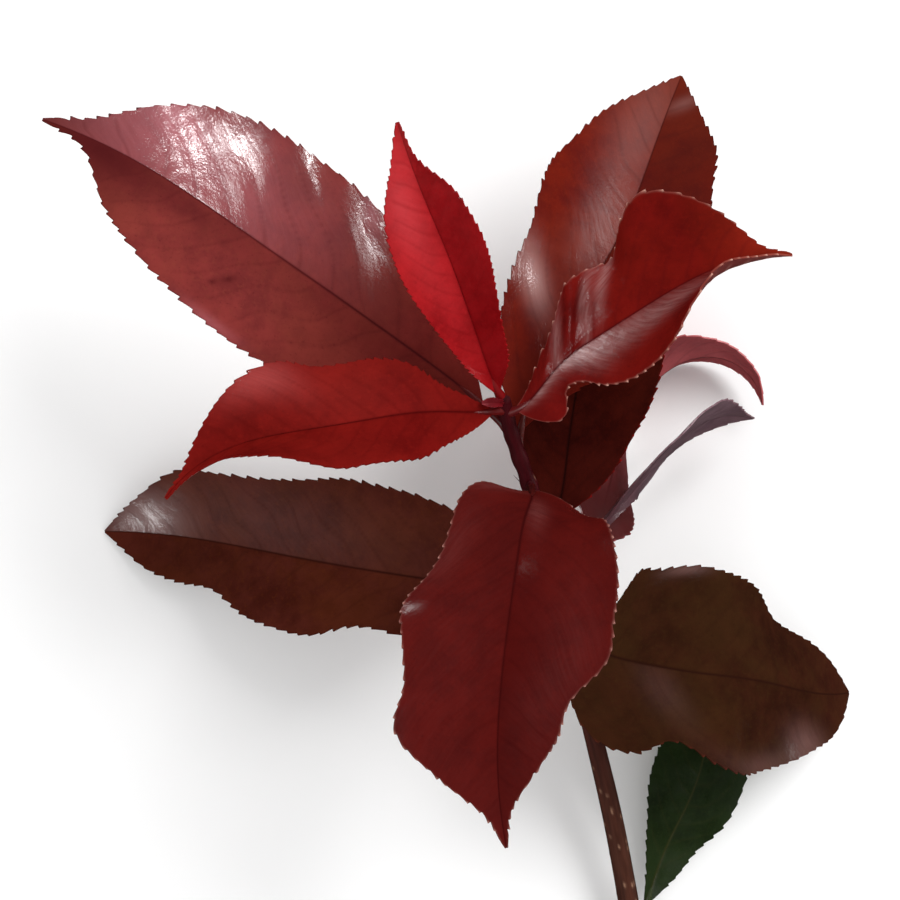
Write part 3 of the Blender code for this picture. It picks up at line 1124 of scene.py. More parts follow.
@dataclass(frozen=True)
class BarkFinish:
    """Smooth young bark with lenticels, and the fresh cut through it.

    Attributes:
        young: colour near the tip.
        old: colour near the cut.
        lenticel: colour of the corky dots.
        wood: colour of the cut wood.
        pith: colour of its soft core.
    """

    young: str = "#3e0a10"
    old: str = "#42241a"
    lenticel: str = "#a07a62"
    wood: str = "#d8d2a0"
    pith: str = "#efe8cc"

    def bark(self) -> bpy.types.Material:
        """Bark: satin and dark red, browner with age, streaked and dotted with cork.

        Returns:
            The material.
        """
        look = Look("satin_young_bark")
        streaks = look.streaks(0.12, 1.2, 4.0)
        shade = look.spread(streaks, (0.3, 0.7), (0.72, 1.25))
        colour = look.blend(look.stored("age"), self.young, self.old)
        colour = look.blend(1.0, colour, shade, "MULTIPLY")
        return look.close({
            "Base Color": look.blend(look.stored("lenticel"), colour, self.lenticel),
            "Roughness": 0.45, "IOR": 1.4, "Specular IOR Level": 0.06,
            "Normal": look.bump(streaks, 0.1, Strength=0.3),
        })

    def cut(self, name: str, colour: str) -> bpy.types.Material:
        """Moist cut face of the wood or the pith, with fine pores.

        Args:
            name: what was cut through.
            colour: its colour.

        Returns:
            The material.
        """
        look = Look(name)
        where = look.add("TexCoord", {}, "Object")
        pores = look.add("TexNoise", {"Vector": where, "Scale": 1 / (0.25 * MM), "Detail": 3.0})
        shade = look.spread(pores, (0.3, 0.7), (0.8, 1.1))
        moist = look.blend(1.0, colour, shade, "MULTIPLY")
        return look.close({"Base Color": moist, "Roughness": 0.6, "IOR": 1.4})


@dataclass(frozen=True)
class Stem:
    """The stem with its nodes, lenticels and cut, and the side buds on it.

    Attributes:
        shape: its centre line and radii.
        finish: its bark and cut.
        leaves: the leaves that stand on it.
    """

    shape: StemShape
    finish: BarkFinish
    leaves: tuple[Leaf, ...]

    RING_STEP = 0.6
    SIDES = 40
    # Lenticels: how many, the seed that strews them, where they begin, and their height, half
    # lengths and half widths.
    LENTICELS, SEED, DOTTED_FROM, DOT_HEIGHT = 90, 41, 18.0, 0.09
    DOT_LONG, DOT_WIDE = (0.45, 0.8), (0.18, 0.28)
    # Faint ridges along the bark: height, how many, and their turn for each mm.
    RIDGES = ((0.05, 5, 0.04), (0.03, 11, -0.1))
    # The limb is this much thinner than its solid, apart from ridges and dots. Its ridges set
    # in and its bark ages between these distances from the tip.
    INSET, RIDGED, AGEING = 0.06, (4.0, 20.0), (30.0, 150.0)
    BARK_THICKNESS = 0.45
    PITH_SHARE = 0.55
    BUD_LENGTH = 2.6
    BUD_RADIUS = 0.85
    BUD_SEGMENTS = 16
    BUD_RINGS = 12
    # Leaves have a bud from this distance on. Its size is LEAST_BUD at the tip of the stem and
    # grows by 1 in BUD_GROWTH mm, up to 1.
    BUDS_FROM, BUD_GROWTH, LEAST_BUD = 8.0, 40.0, 0.35
    # How a bud points along the stem and away from it, how far over the node it stands, how
    # deep it is sunk, and how it is pinched to its tip and flattened.
    BUD_WAY, BUD_OVER, BUD_SUNK, BUD_PINCH, BUD_FLAT = (0.9, 0.45), 2.0, 0.1, 0.55, 0.75

    def frames(self, station: Array) -> tuple[Array, Array, Array]:
        """Points of the centre line with two directions across it.

        Args:
            station: distances from the tip.

        Returns:
            The points and, for each, the two directions.
        """
        distances, points = self.shape.line()
        centre = read_off(distances, points, station)
        axis = unit(np.gradient(points, axis=0))
        axis = unit(read_off(distances, axis, station))
        first = unit(np.cross(axis, np.array([0.0, 0.0, 1.0])))
        return centre, first, np.cross(first, axis)

    def build_limb(self) -> bpy.types.Object:
        """Rolls a grid into the stem, roughened by lenticels, with its cut end dressed.

        Returns:
            The stem.
        """
        length = self.shape.length()
        piece, share, around = add_grid("stem_limb", int(length / self.RING_STEP), self.SIDES)
        station = share * length
        turn = 2 * np.pi * around
        radius = self.shape.radius(station)
        draw = np.random.default_rng(self.SEED)
        dots = np.zeros(len(station))
        for _ in range(self.LENTICELS):
            s = draw.uniform(self.DOTTED_FROM, length - 2.0)
            t = draw.uniform(0, 2 * np.pi)
            long, wide = draw.uniform(*self.DOT_LONG), draw.uniform(*self.DOT_WIDE)
            apart = np.abs(np.mod(turn - t + np.pi, 2 * np.pi) - np.pi) * radius
            dots = np.maximum(dots, np.exp(-(((station - s) / long) ** 2) - (apart / wide) ** 2))
        ridges = sum(h * np.cos(n * turn + wind * station) for h, n, wind in self.RIDGES)
        radius = radius + ridges * smooth_step(*self.RIDGED, station)
        radius = radius + self.DOT_HEIGHT * dots - self.INSET
        centre, first, second = self.frames(station)
        move_vertices(piece, centre + radius[:, None] * ring(turn, first, second))
        map_surface(piece, station, turn * radius)
        keep_values(piece, lenticel=0.8 * dots, age=smooth_step(*self.AGEING, station))
        weld_tube(piece)
        wood = self.finish.cut("moist_cut_wood", self.finish.wood)
        dress(piece, self.finish.bark(), wood, self.finish.cut("moist_cut_pith", self.finish.pith))
        self.dress_cut(piece)
        smooth(piece, angle=40.0)
        hand_over(piece, "stem")
        return piece

    def dress_cut(self, piece: bpy.types.Object) -> None:
        """Insets the cut face into a ring of bark, wood and pith.

        Args:
            piece: the stem, with its end closed by one face.
        """
        mesh = piece.data
        end = place(np.array(STEM_LINE[-1]))
        cut = min(
            (p for p in mesh.polygons if len(p.vertices) > 4),
            key=lambda p: float(np.linalg.norm(np.array(p.center) - end)),
        ).index
        wide = float(self.shape.radius(self.shape.length()))
        steps = ((1, self.BARK_THICKNESS), (2, self.PITH_SHARE * wide))
        select(piece)
        bpy.ops.object.mode_set(mode="EDIT")
        bpy.ops.mesh.select_mode(type="FACE")
        for slot, inset in steps:
            bpy.ops.mesh.select_all(action="DESELECT")
            bpy.ops.object.mode_set(mode="OBJECT")
            mesh.polygons[cut].select = True
            bpy.ops.object.mode_set(mode="EDIT")
            bpy.ops.mesh.inset(thickness=inset * MM, depth=0.0)
            piece.active_material_index = slot
            bpy.ops.object.material_slot_assign()
            bpy.ops.object.mode_set(mode="OBJECT")
            cut = next(p.index for p in mesh.polygons if p.select)
            bpy.ops.object.mode_set(mode="EDIT")
        bpy.ops.object.mode_set(mode="OBJECT")

    def build_bud(self, leaf: Leaf, bark: bpy.types.Material) -> bpy.types.Object:
        """Pinches a sphere into the side bud above a leaf's stalk.

        Args:
            leaf: the leaf below the bud.
            bark: the material that it wears.

        Returns:
            The bud.
        """
        node, axis = self.shape.at(leaf.shape.station)
        ahead = leaf.shape.path(self.shape)[2][0]
        away = unit(ahead - (ahead @ axis) * axis)
        side = np.cross(axis, away)
        grow = unit(self.BUD_WAY[0] * axis + self.BUD_WAY[1] * away)
        lift = np.cross(side, grow)
        size = min(1.0, leaf.shape.station / self.BUD_GROWTH + self.LEAST_BUD)
        deselect()
        bpy.ops.mesh.primitive_uv_sphere_add(
            segments=self.BUD_SEGMENTS, ring_count=self.BUD_RINGS, radius=1.0
        )
        piece = bpy.context.object
        piece.name = piece.data.name = f"bud_over_{leaf.name}"
        ball = np.array([v.co for v in piece.data.vertices])
        pinch = 1 - self.BUD_PINCH * smooth_step(-0.2, 1.0, ball[:, 2])
        width = self.BUD_RADIUS * size * pinch
        sunk = float(self.shape.radius(leaf.shape.station)) - self.BUD_SUNK
        foot = node + away * sunk + self.BUD_OVER * size * axis
        points = foot + (ball[:, 0] * width)[:, None] * side
        points = points + (ball[:, 1] * width * self.BUD_FLAT)[:, None] * lift
        points = points + (ball[:, 2] * self.BUD_LENGTH / 2 * size)[:, None] * grow
        move_vertices(piece, points)
        dress(piece, bark)
        smooth(piece, angle=60.0)
        hand_over(piece)
        return piece

    def build(self) -> None:
        """Makes the stem and a bud over each leaf that is old enough to have one."""
        limb = self.build_limb()
        for leaf in self.leaves:
            if leaf.shape.station > self.BUDS_FROM:
                self.build_bud(leaf, limb.data.materials[0])


@dataclass(frozen=True)
class Stipule:
    """A thin dry thread beside a node, papery and streaked by its fibres.

    Attributes:
        name: its name.
        points: its centre line in plan mm.
        radius: its radius at the foot.
        colour: its colour.
    """

    name: str
    points: tuple[tuple[float, float, float], ...]
    radius: float
    colour: str

    RINGS = 24
    SIDES = 10
    # Share of its radius that it loses, its length for the streaks, and a way off its line.
    TAPER, LENGTH, ASIDE = 0.85, 5.0, (0.3, 0.2, 0.9)

    def build(self) -> bpy.types.Object:
        """Rolls a grid into the thread.

        Returns:
            The thread.
        """
        line = np.array(self.points)
        piece, share, around = add_grid(self.name, self.RINGS, self.SIDES)
        fine = np.linspace(0, 1, 50)
        thread = curve(np.linspace(0, 1, len(line)), line, fine)
        axis = unit(read_off(fine, unit(np.gradient(thread, axis=0)), share))
        first = unit(np.cross(axis, np.array(self.ASIDE)))
        radius = self.radius * (1 - self.TAPER * share)
        turn = 2 * np.pi * around
        out = ring(turn, first, np.cross(first, axis))
        move_vertices(piece, read_off(fine, thread, share) + radius[:, None] * out)
        map_surface(piece, share * self.LENGTH, turn * radius)
        weld_tube(piece)
        look = Look("papery_stipule_" + self.name)
        fibres = look.clouds(look.add("UVMap", {}), 0.6, 2.0)
        colour = look.blend(0.5, self.colour, fibres, "MULTIPLY")
        dress(piece, look.close({"Base Color": colour, "Roughness": 0.6, "IOR": 1.4}))
        smooth(piece, angle=60.0)
        hand_over(piece)
        return piece


class Seen(Enum):
    """What a softbox acts on: the gloss alone, or everything but the gloss."""

    GLOSS = "gloss"
    NOT_GLOSS = "not gloss"


@dataclass(frozen=True)
class Softbox:
    """An oblong area light that looks at the shoot.

    Attributes:
        name: its name.
        azimuth: heading of the light seen from the shoot.
        elevation: its height above the horizon.
        width: its width in metres.
        height: its height in metres.
        radiance: how bright its face is.
        seen: what it acts on.
        distance: its distance from the shoot in metres.
    """

    name: str
    azimuth: float
    elevation: float
    width: float
    height: float
    radiance: float
    seen: Seen = Seen.GLOSS
    distance: float = 1.5

    def build(self, target: Array) -> bpy.types.Object:
        """Hangs the light.

        Args:
            target: the point that it looks at, in metres.

        Returns:
            The light.
        """
        data = bpy.data.lights.new(self.name, "AREA")
        data.shape = "RECTANGLE"
        data.size = self.width
        data.size_y = self.height
        data.energy = self.radiance * math.pi * self.width * self.height
        light = bpy.data.objects.new(self.name, data)
        turn, rise = math.radians(self.azimuth), math.radians(self.elevation)
        level = math.cos(rise)
        way = np.array([math.cos(turn) * level, math.sin(turn) * level, math.sin(rise)])
        light.location = target + way * self.distance
        light.rotation_euler = (math.pi / 2 - rise, 0.0, turn + math.pi / 2)
        light.visible_camera = False
        light.visible_glossy = self.seen is not Seen.NOT_GLOSS
        light.visible_diffuse = self.seen is not Seen.GLOSS
        bpy.context.scene.collection.objects.link(light)
        return light


@dataclass(frozen=True)
class Studio:
    """Pale floor, soft lights and the camera that looks straight down.

    Attributes:
        lights: the softboxes.
        floor: side of the floor in metres.
        floor_colour: its colour.
        sky: brightness of the world.
        aim: height in metres that the lights look at.
        camera_height: height of the camera over the floor in mm.
        lens: its focal length in mm.
        sensor: its sensor's width in mm.
    """

    lights: tuple[Softbox, ...]
    floor: float = 14.0
    floor_colour: str = "#f4f4f4"
    sky: float = 0.88
    aim: float = 0.06
    camera_height: float = 685.0
    lens: float = 100.0
    sensor: float = 36.0

    def build(self) -> None:
        """Makes the floor, a matt white board, and the lights, the world and the camera."""
        deselect()
        bpy.ops.mesh.primitive_plane_add(size=self.floor, location=(0.0, 0.0, 0.0))
        ground = bpy.context.object
        ground.name = "floor"
        material = bpy.data.materials.new("matte_white_board")
        material.use_nodes = True
        shader = material.node_tree.nodes["Principled BSDF"]
        shader.inputs["Base Color"].default_value = to_linear(self.floor_colour)
        shader.inputs["Roughness"].default_value = 0.9
        shader.inputs["Specular IOR Level"].default_value = 0.1
        dress(ground, material)
        ground.visible_glossy = False
        for light in self.lights:
            light.build(np.array([0.0, 0.0, self.aim]))
        # The leaves mirror only the softboxes, as they would in a dark room.
        world = bpy.data.worlds.new("soft_room")
        world.use_nodes = True
        background = world.node_tree.nodes["Background"]
        background.inputs["Color"].default_value = (1.0, 1.0, 1.0, 1.0)
        background.inputs["Strength"].default_value = self.sky
        world.cycles_visibility.glossy = False
        bpy.context.scene.world = world
        bpy.context.scene.view_settings.view_transform = "Standard"
        data = bpy.data.cameras.new("camera")
        data.lens = self.lens
        data.sensor_width = self.sensor
        data.clip_start = 0.01
        camera = bpy.data.objects.new("camera", data)
        camera.location = place(np.array([0.0, 0.0, self.camera_height]))
        bpy.context.scene.collection.objects.link(camera)
        bpy.context.scene.camera = camera


SCARLET = LeafFinish(
    name="scarlet", slot=Slot.SCARLET, light="#9e1218", deep="#80090e", patch="#aa1c20",
    vein="#6c080c", margin="#7a1414", under="#b85a56", foot="#7c080c", tip="#98181a",
    roughness=0.28, shine=0.05, bloom="#d04a50",
)
CRIMSON = LeafFinish(
    name="crimson", slot=Slot.CRIMSON, light="#70120f", deep="#5c0d0b", patch="#7e1a14",
    vein="#480808", margin="#6a1614", under="#9c4c46", foot="#640a0b", tip="#8a1f1a",
    roughness=0.3, shine=0.0, bloom="#b84c4a",
)
# Its pale margin colour is a painted glint on the teeth's tips.
DEEP_CRIMSON = LeafFinish(
    name="deep_crimson", slot=Slot.CRIMSON, light="#6a110e", deep="#560d0b", patch="#74160f",
    vein="#4a0c0e", margin="#d0a090", under="#84403a", foot="#6a1416", tip="#7a2412",
    tipping=0.6, roughness=0.34, shine=0.0, bloom="#a88280", streaking=0.6,
)
MAROON = LeafFinish(
    name="maroon", slot=Slot.MAROON, light="#7a2f2c", deep="#662625", patch="#78352b",
    vein="#461416", margin="#3c100e", under="#8a5650", foot="#641612", tip="#4a1814",
    footing=0.6, tipping=0.8, roughness=0.3, shine=0.0, bloom="#ae6870", patches=0.4,
)
DARK_MAROON = LeafFinish(
    name="dark_maroon", slot=Slot.MAROON, light="#64190f", deep="#521310", patch="#6c2214",
    vein="#3a1310", margin="#40120e", under="#80504a", foot="#661c18", tip="#6c2c18",
    tipping=0.4, roughness=0.26, shine=0.0, bloom="#c09a96", streaking=0.1,
)
# Its pale margin colour is a painted glint on the teeth's tips.
DARK_RED = LeafFinish(
    name="dark_red", slot=Slot.DARK_RED, light="#4e0f0d", deep="#420c0b", patch="#53110d",
    vein="#340909", margin="#c08c80", under="#874a42", foot="#521410", tip="#4e1816",
    roughness=0.3, shine=0.0, bloom="#7c4644", patches=0.3, streaking=0.5,
)
BUD_RED = LeafFinish(
    name="bud_red", slot=Slot.DARK_RED, light="#660f18", deep="#560c14", patch="#72161e",
    vein="#5a0c12", margin="#8c2026", under="#7a1c20", foot="#5a0c12", tip="#a04048",
    roughness=0.32, shine=0.15,
)
# The very dark colours are partly the leaf's own and partly painted shade, for the leaf lies under
# the others.
DARK_SHADED_RED = LeafFinish(
    name="dark_shaded_red", slot=Slot.BROWN_RED, light="#380f0a", deep="#260806", patch="#44120a",
    vein="#1c0706", margin="#a01818", under="#7a3c34", foot="#3c100e", tip="#3a100a",
    roughness=0.32, shine=0.0,
)
BROWN_RED = LeafFinish(
    name="brown_red", slot=Slot.BROWN_RED, light="#4b1f17", deep="#3c160f", patch="#542612",
    vein="#2e120c", margin="#301010", under="#765048", foot="#4c241c", tip="#4c1c14",
    roughness=0.3, shine=0.0, bloom="#8c7472",
)
OLIVE_BROWN = LeafFinish(
    name="olive_brown", slot=Slot.OLIVE_BROWN, light="#32180e", deep="#26110a", patch="#352110",
    vein="#24100a", margin="#5a241c", under="#7c6a50", foot="#34200f", tip="#441c16",
    patches=0.5, roughness=0.3, shine=0.0, bloom="#a07874",
)
DEEP_GREEN = LeafFinish(
    name="deep_green", slot=Slot.DEEP_GREEN, light="#1c2811", deep="#121c09", patch="#223016",
    vein="#2e3016", margin="#242a14", under="#6a7850", foot="#2c3a1c", tip="#1c2610",
    roughness=0.3, shine=0.06,
)
# Its dark foot colour is painted shade on the leaf's lower part, which the leaves above shade.
ROSE = LeafFinish(
    name="rose", slot=Slot.ROSE, light="#bc5256", deep="#a4464b", patch="#c45e62",
    vein="#4c1818", margin="#c06468", under="#a05458", foot="#461812", tip="#9c3a3c",
    footing=1.0, roughness=0.36, foot_reach=0.8,
)
# Its dark foot colour is painted shade at the leaf's base.
PURPLE_GREY = LeafFinish(
    name="purple_grey", slot=Slot.PURPLE_GREY, light="#7a5c64", deep="#644852", patch="#846870",
    vein="#4a2a30", margin="#5a2a30", under="#7e6068", foot="#3c1816", tip="#5c383c",
    footing=0.95, roughness=0.36, foot_reach=0.35,
)

# The pale patches on each leaf are painted sheen and painted highlights, and the dark patches
# painted shade, apart from two small dark marks on leaf_01; the gloss patches set the clear coat.
# A patch is given by its share, y, along, across and weight, which is 1 where it is left out.
LEAVES = (
    Leaf(
        name="leaf_bud",
        shape=LeafShape(
            station=1.2, stalk=2.8, length=6.0,
            headings=(172, 174, 178, 182, 186), pitches=(85, 65, 40, 28, 18),
            rolls=(0, 0, 0, 0), folds=(20, 20, 20, 15),
            left=(1.0, 1.3, 1.1), right=(1.0, 1.3, 1.1),
        ),
        finish=BUD_RED, seed=3, veins=6, tooth_pitch=0.9, tooth=0.12, quilt=0.03, ripple=0.02,
        wrinkle=0.0, row=0.1, columns=24,
    ),
    Leaf(
        name="leaf_01",
        shape=LeafShape(
            station=11, stalk=11, length=128,
            headings=(132, 139, 145, 146, 160), pitches=(8, 12, 6, -5, -16),
            rolls=(-6, -4, 1, 2), folds=(12, 8, 12, 8),
            left=(10.5, 16.5, 21.5, 23.5, 23.5, 22, 19, 13.5, 3),
            right=(10.5, 16.5, 21.5, 24, 25, 24.5, 21.5, 14.5, 5),
        ),
        finish=MAROON, seed=11, veins=12, tooth_pitch=3.6, tooth=0.75, quilt=0.1, wrinkle=0.008,
        creases=(
            Crease(Side.RIGHT, 0.42, 0.51, height=0.8, ahead=5.0, behind=6.0, inner=0.4, full=0.9),
            Crease(Side.RIGHT, 0.26, 0.355, height=0.6, ahead=5.0, behind=6.0, inner=0.4, full=0.9),
        ),
        polish=(
            Patch(0.755, -0.72, 6.5, 9.0), Patch(0.645, -0.7, 5.0, 7.0, 0.8),
            Patch(0.68, -0.15, 11.0, 6.0, 0.5), Patch(0.51, -0.92, 2.5, 3.5, 0.9),
            Patch(0.37, -0.88, 4.5, 6.0),
        ),
        # Painted sheen on the upper half and painted highlights near its margin.
        blooms=(
            Patch(0.72, -0.45, 26.0, 18.0, 0.6), Patch(0.42, -0.6, 16.0, 14.0, 0.12),
            Patch(0.5, 0.97, 7.0, 1.5, 0.3), Patch(0.755, -0.75, 5.0, 7.0, 0.5),
            Patch(0.37, -0.9, 3.0, 4.0, 0.5),
        ),
        # Painted shade along the midrib and towards the tip, and the leaf's own two small dark
        # marks.
        dims=(
            Patch(0.88, 0.4, 14.0, 9.0, 0.6), Patch(0.68, 0.12, 40.0, 5.0, 0.45),
            Patch(0.52, 0.5, 0.9, 1.2, 0.8), Patch(0.54, 0.62, 0.7, 0.8, 0.8),
        ),
    ),
    Leaf(
        name="leaf_02",
        shape=LeafShape(
            station=0, stalk=3.5, length=73,
            headings=(124, 118, 110, 114, 107), pitches=(42, 38, 33, 26, 16),
            rolls=(0, -7, -10, -1), folds=(22, 26, 21, 15),
            left=(5, 8, 10.5, 12.5, 12.5, 10.5, 5), right=(6, 7.5, 9, 10.5, 10.5, 8, 2),
        ),
        finish=SCARLET, seed=21, veins=12, tooth_pitch=2.0, tooth=0.5, wrinkle=0.004, ripple=0.08,
        blooms=(
            Patch(0.75, 0.55, 12.0, 5.0, 0.4), Patch(0.45, 0.45, 14.0, 5.0, 0.1),
        ),
        # Painted shade on the darker right half.
        dims=(Patch(0.5, -0.5, 45.0, 9.0, 0.4),),
    ),
    Leaf(
        name="leaf_03",
        shape=LeafShape(
            station=3, stalk=5, length=85,
            headings=(195, 185, 190, 193, 233), pitches=(45, 36, 18, -2, -16),
            rolls=(0, 10, 31, 24), folds=(18, 17, 35, 15),
            left=(5.5, 9, 12, 12.5, 13.5, 15.5, 15.5, 13.5, 9.5, 6, 2.5),
            right=(4, 7, 12, 14, 14, 14.5, 16.5, 15, 11, 6, 1.5),
            lift_left=(0, 0.5, -0.5, 1.5, 3), lift_right=(-0.5, 0.5, 0, 1.5, -0.5),
        ),
        finish=CRIMSON, seed=31, veins=12, tooth_pitch=2.3, tooth=0.5, wrinkle=0.004, ripple=0.1,
        polish=(Patch(0.64, -0.9, 3.5, 3.0),),
        blooms=(
            Patch(0.64, -0.85, 7.0, 5.0, 0.55), Patch(0.45, -0.5, 25.0, 12.0, 0.06),
        ),
        # Painted shade on the darker left half.
        dims=(
            Patch(0.3, 0.3, 22.0, 10.0, 0.3), Patch(0.6, 0.8, 16.0, 6.0, 0.25),
        ),
    ),
    Leaf(
        name="leaf_04",
        shape=LeafShape(
            station=19, stalk=8, length=106,
            headings=(96, 80, 58, 69, 67), pitches=(22, 8, -12, -25, -29),
            rolls=(0, -3, -3, 2), folds=(12, 12, 11, 12),
            left=(9.5, 15.5, 19, 20.5, 23, 23.5, 20, 15.5, 8),
            right=(8.5, 14.5, 19, 21, 21.5, 20, 17.5, 15.5, 8.5),
        ),
        finish=DARK_MAROON, seed=41, tooth_pitch=3.4, tooth=0.65, wrinkle=0.006,
        polish=(
            Patch(0.305, 0.72, 6.0, 8.0, 0.6), Patch(0.54, 0.2, 20.0, 6.0, 0.35),
        ),
        # Painted shade on the right half, which faces away from the light.
        dims=(Patch(0.7, -0.5, 40.0, 20.0, 0.55),),
        # Painted sheen, and a painted highlight near the base.
        blooms=(
            Patch(0.8, 0.3, 18.0, 8.0, 0.12), Patch(0.305, 0.68, 4.5, 5.5, 0.5),
            Patch(0.5, 0.15, 18.0, 7.0, 0.07), Patch(0.92, -0.5, 2.0, 5.0, 0.12),
        ),
    ),
    Leaf(
        name="leaf_05",
        shape=LeafShape(
            station=4, stalk=4, length=78,
            headings=(0, 28, 32, 28, -1), pitches=(43, 33, 24, 16, 0),
            rolls=(-16, -24, -37, -44), folds=(23, 12, 27, 23),
            left=(3.5, 6, 9, 14.5, 15.5, 17, 19.5, 21.5, 17.5, 11, 4.5),
            right=(10, 6.5, 8.5, 13.5, 17, 19, 20, 19.5, 16, 11, 5),
            lift_left=(-3, -3.5, -1, -0.5, -6.5, 0.5, 4, 2.5, -2.5),
            lift_right=(-3.5, 0.5, 0, -1, -2, -1.5, 2.5, 6.5, 3),
        ),
        finish=DEEP_CRIMSON, seed=51, tooth_pitch=2.9, tooth=0.6, wrinkle=0.006,
        creases=(
            Crease(Side.LEFT, 0.28, 0.48, height=3.0, ahead=17.0, behind=4.0, full=0.8),
            Crease(Side.LEFT, 0.22, 0.35, height=0.8, ahead=3.5, behind=1.6, full=0.7),
            Crease(Side.LEFT, 0.10, 0.25, height=0.4, ahead=3.0, behind=1.5, full=0.6),
            Crease(Side.LEFT, 0.24, 0.44, height=0.35, ahead=1.2, behind=1.2, full=0.5),
        ),
        polish=(
            Patch(0.22, 0.45, 4.0, 6.0, 0.12), Patch(0.34, 0.5, 4.0, 8.0, 0.1),
            Patch(0.45, 0.75, 4.0, 6.0, 0.12), Patch(0.22, -0.15, 8.0, 3.0, 0.2),
            Patch(0.45, -0.22, 13.0, 3.5, 0.4), Patch(0.64, -0.28, 11.0, 3.5, 0.4),
        ),
        # Painted sheen along the midrib and on the crests.
        blooms=(
            Patch(0.1, -0.05, 7.0, 1.3, 0.6), Patch(0.24, -0.12, 8.0, 2.5, 0.45),
            Patch(0.3, -0.35, 4.0, 4.0, 0.3), Patch(0.45, -0.2, 13.0, 4.0, 0.4),
            Patch(0.64, -0.25, 11.0, 4.0, 0.25), Patch(0.22, 0.4, 1.8, 8.0, 0.4),
            Patch(0.37, 0.5, 1.7, 9.0, 0.45), Patch(0.46, 0.75, 1.7, 7.0, 0.45),
        ),
    ),
    Leaf(
        name="leaf_06",
        shape=LeafShape(
            station=43, stalk=5, length=88,
            headings=(50, 66, 80, 65, 57), pitches=(15, 5, -10, -22, -28),
            rolls=(1, 2, 0, 0), folds=(8, 10, 10, 10),
            left=(11, 16, 19.5, 20, 18.5, 15, 10.5), right=(11, 16, 19.5, 20, 18.5, 15, 10.5),
        ),
        finish=DARK_SHADED_RED, seed=61, tooth_pitch=3.0, tooth=0.5,
    ),
    Leaf(
        name="leaf_07",
        shape=LeafShape(
            station=28, stalk=8, length=108,
            headings=(-60, -96, -100, -95, -79), pitches=(74, 80, 45, 5, -20),
            rolls=(10, 21, 13, 2), folds=(6, -3, 7, 8),
            left=(10.5, 15.5, 19.5, 22.5, 24.5, 25, 24.5, 17, 14, 8.5, 2.5),
            right=(11.5, 16, 17.5, 20, 23, 25, 23.5, 22, 23, 13.5, 4),
            lift_left=(-1.5, 0.5, 0, -0.5, -0.5, 0, -1), lift_right=(0, -1, -2, 0.5, -0.5, 1, 0.5),
        ),
        finish=DARK_RED, seed=71, tooth_pitch=3.0, tooth=0.6, wrinkle=0.006,
        polish=(
            Patch(0.2, 0.12, 9.0, 2.5, 0.4), Patch(0.35, 0.08, 10.0, 2.5, 0.2),
            Patch(0.12, 0.95, 2.5, 2.5), Patch(0.34, 0.96, 3.0, 2.0), Patch(0.51, -0.95, 3.0, 2.0),
            Patch(0.73, -0.95, 3.0, 2.0),
        ),
        blooms=(
            Patch(0.18, 0.15, 9.0, 2.5, 0.35), Patch(0.6, -0.6, 40.0, 16.0, 0.06),
            Patch(0.62, 0.7, 22.0, 9.0, 0.12), Patch(0.32, -0.9, 12.0, 5.0, 0.15),
            Patch(0.08, -0.8, 5.0, 4.0, 0.3),
        ),
        # Painted shade beside the midrib.
        dims=(
            Patch(0.62, 0.12, 36.0, 6.0, 0.4), Patch(0.3, -0.12, 24.0, 5.0, 0.3),
            Patch(0.1, 0.6, 8.0, 10.0, 0.25),
        ),
    ),
    Leaf(
        name="leaf_08",
        shape=LeafShape(
            station=60, stalk=12, length=122,
            headings=(186, 178, 172, 171, 181), pitches=(0, -10, -22, -28, -29),
            rolls=(8, 10, -4, -10), folds=(10, 12, 3, 4),
            left=(16, 16.5, 16, 20, 19.5, 17.5, 13, 12.5, 9),
            right=(16, 20.5, 22, 22.5, 20.5, 19, 18.5, 18, 10),
            lift_left=(0, 1, 0, -0.5, -2, -0.5), lift_right=(0.5, 0.5, 0.5, 0, 0, 0),
        ),
        finish=BROWN_RED, seed=81, veins=12, tooth_pitch=3.6, tooth=0.65,
        polish=(Patch(0.89, -0.35, 8.0, 7.0, 0.4),),
        blooms=(
            Patch(0.88, -0.35, 11.0, 8.0, 0.6), Patch(0.6, -0.4, 36.0, 13.0, 0.12),
        ),
        # Painted shade on the left half.
        dims=(Patch(0.8, 0.5, 18.0, 12.0, 0.35),),
    ),
    Leaf(
        name="leaf_09",
        shape=LeafShape(
            station=70, stalk=6, length=99,
            headings=(-76, -48, -9, -17, -2), pitches=(70, 27, -12, -45, -62),
            rolls=(-4, -11, -17, -8), folds=(-5, 3, -15, -5),
            left=(21, 24.5, 27, 26.5, 25, 22.5, 18.5, 15, 10),
            right=(19.5, 23, 18.5, 23, 24.5, 22.5, 19.5, 15, 10),
            lift_left=(-0.5, 0.5, 0.5, -4.5, -1.5), lift_right=(1, 1, 0, 0.5, 1),
        ),
        finish=OLIVE_BROWN, seed=91, tooth_pitch=3.4, tooth=0.6,
        polish=(
            Patch(0.27, 0.97, 5.0, 2.5, 0.4), Patch(0.68, -0.78, 10.0, 4.0, 0.4),
        ),
        blooms=(
            Patch(0.27, 0.97, 6.0, 1.5, 0.25), Patch(0.6, -0.95, 14.0, 3.5, 0.14),
            Patch(0.76, -0.8, 6.0, 6.0, 0.22), Patch(0.26, -0.3, 5.0, 8.0, 0.07),
        ),
    ),
    Leaf(
        name="leaf_10",
        shape=LeafShape(
            station=167, stalk=8.5, length=74,
            headings=(57, 70, 63, 82, 73), pitches=(12, 6, -1, -3, -5),
            rolls=(0, 5, 5, 0), folds=(5, 6, 6, 5),
            left=(3.5, 7.5, 12, 13.5, 12.5, 11, 7), right=(5.5, 8, 11.5, 12.5, 12.5, 11, 7),
        ),
        finish=DEEP_GREEN, seed=101, tooth_pitch=3.2, tooth=0.5,
    ),
    Leaf(
        name="leaf_11",
        shape=LeafShape(
            station=48, stalk=12, length=98,
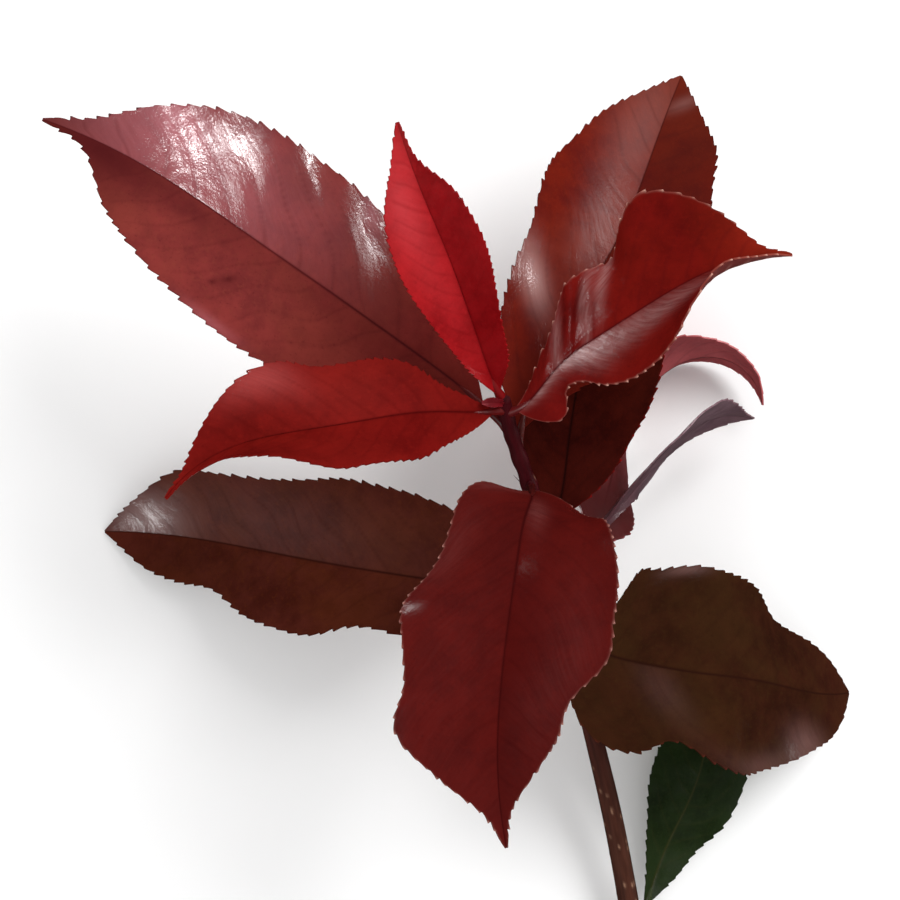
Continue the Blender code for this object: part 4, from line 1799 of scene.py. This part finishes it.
            headings=(-24, 38, 71, 32, -82), pitches=(-25, -42, -37, -10, -12),
            rolls=(5, 46, 75, 80), folds=(9, -20, -17, 2),
            left=(9, 13, 16, 17, 16, 12.5, 7), right=(9, 13, 16, 17, 16, 12.5, 7),
        ),
        finish=ROSE, seed=111, tooth_pitch=3.2, tooth=0.5,
        # Painted shade on the leaf's lower part, under leaf_06.
        dims=(
            Patch(0.15, 0.5, 24.0, 16.0, 0.95), Patch(0.15, -0.5, 24.0, 16.0, 0.95),
        ),
    ),
    Leaf(
        name="leaf_12",
        shape=LeafShape(
            station=57, stalk=13.5, length=72,
            headings=(43, 51, 45, 35, -14), pitches=(28, 9, -40, -46, -22),
            rolls=(31, 76, 80, 74), folds=(9, 0, 0, 10),
            left=(1.5, 5, 12, 16.5, 16.5, 13.5, 8), right=(1.5, 5, 12, 16.5, 16, 13, 8.5),
        ),
        finish=PURPLE_GREY, seed=121, tooth_pitch=3.2, tooth=0.5,
        # Painted shade at the leaf's base.
        dims=(
            Patch(0.08, 0.5, 13.0, 14.0, 0.8), Patch(0.08, -0.5, 13.0, 14.0, 0.8),
        ),
    ),
)

STIPULE = Stipule(
    name="stipule", points=((19.0, -10.0, 66.0), (17.4, -8.0, 67.2), (15.7, -6.2, 67.6)),
    radius=0.22, colour="#4a2a2e",
)

# Each softbox is given by its azimuth, elevation, width, height and radiance.
LIGHTS = (
    Softbox("key_upper_right", 45.0, 50.0, 1.4, 1.4, 9.5, Seen.NOT_GLOSS, 3.0),
    Softbox("gleam_left", -161.0, 55.0, 0.2, 0.18, 120.0),
    Softbox("gleam_front_left", -127.0, 57.0, 0.38, 0.14, 80.0),
    Softbox("rim_back_left", 150.0, 6.0, 0.7, 0.2, 24.0),
    Softbox("rim_back", 98.0, 7.0, 0.5, 0.2, 14.0),
    Softbox("rim_right", -4.0, 6.0, 0.4, 0.18, 30.0),
    Softbox("gleam_low_left", -156.0, 21.0, 0.2, 0.12, 70.0),
    Softbox("gleam_right", 14.0, 51.0, 0.42, 0.3, 36.0),
    Softbox("sheen_right", 38.0, 34.0, 0.5, 0.45, 8.0),
)


def main() -> None:
    """Builds the shoot and the studio around it."""
    logging.basicConfig(level=logging.INFO, format="%(name)s %(message)s")
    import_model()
    shape = StemShape(stations=tuple(leaf.shape.station for leaf in LEAVES))
    for leaf in LEAVES:
        leaf.build(shape)
    Stem(shape=shape, finish=BarkFinish(), leaves=LEAVES).build()
    STIPULE.build()
    Studio(lights=LIGHTS).build()


if __name__ == "__main__":
    main()
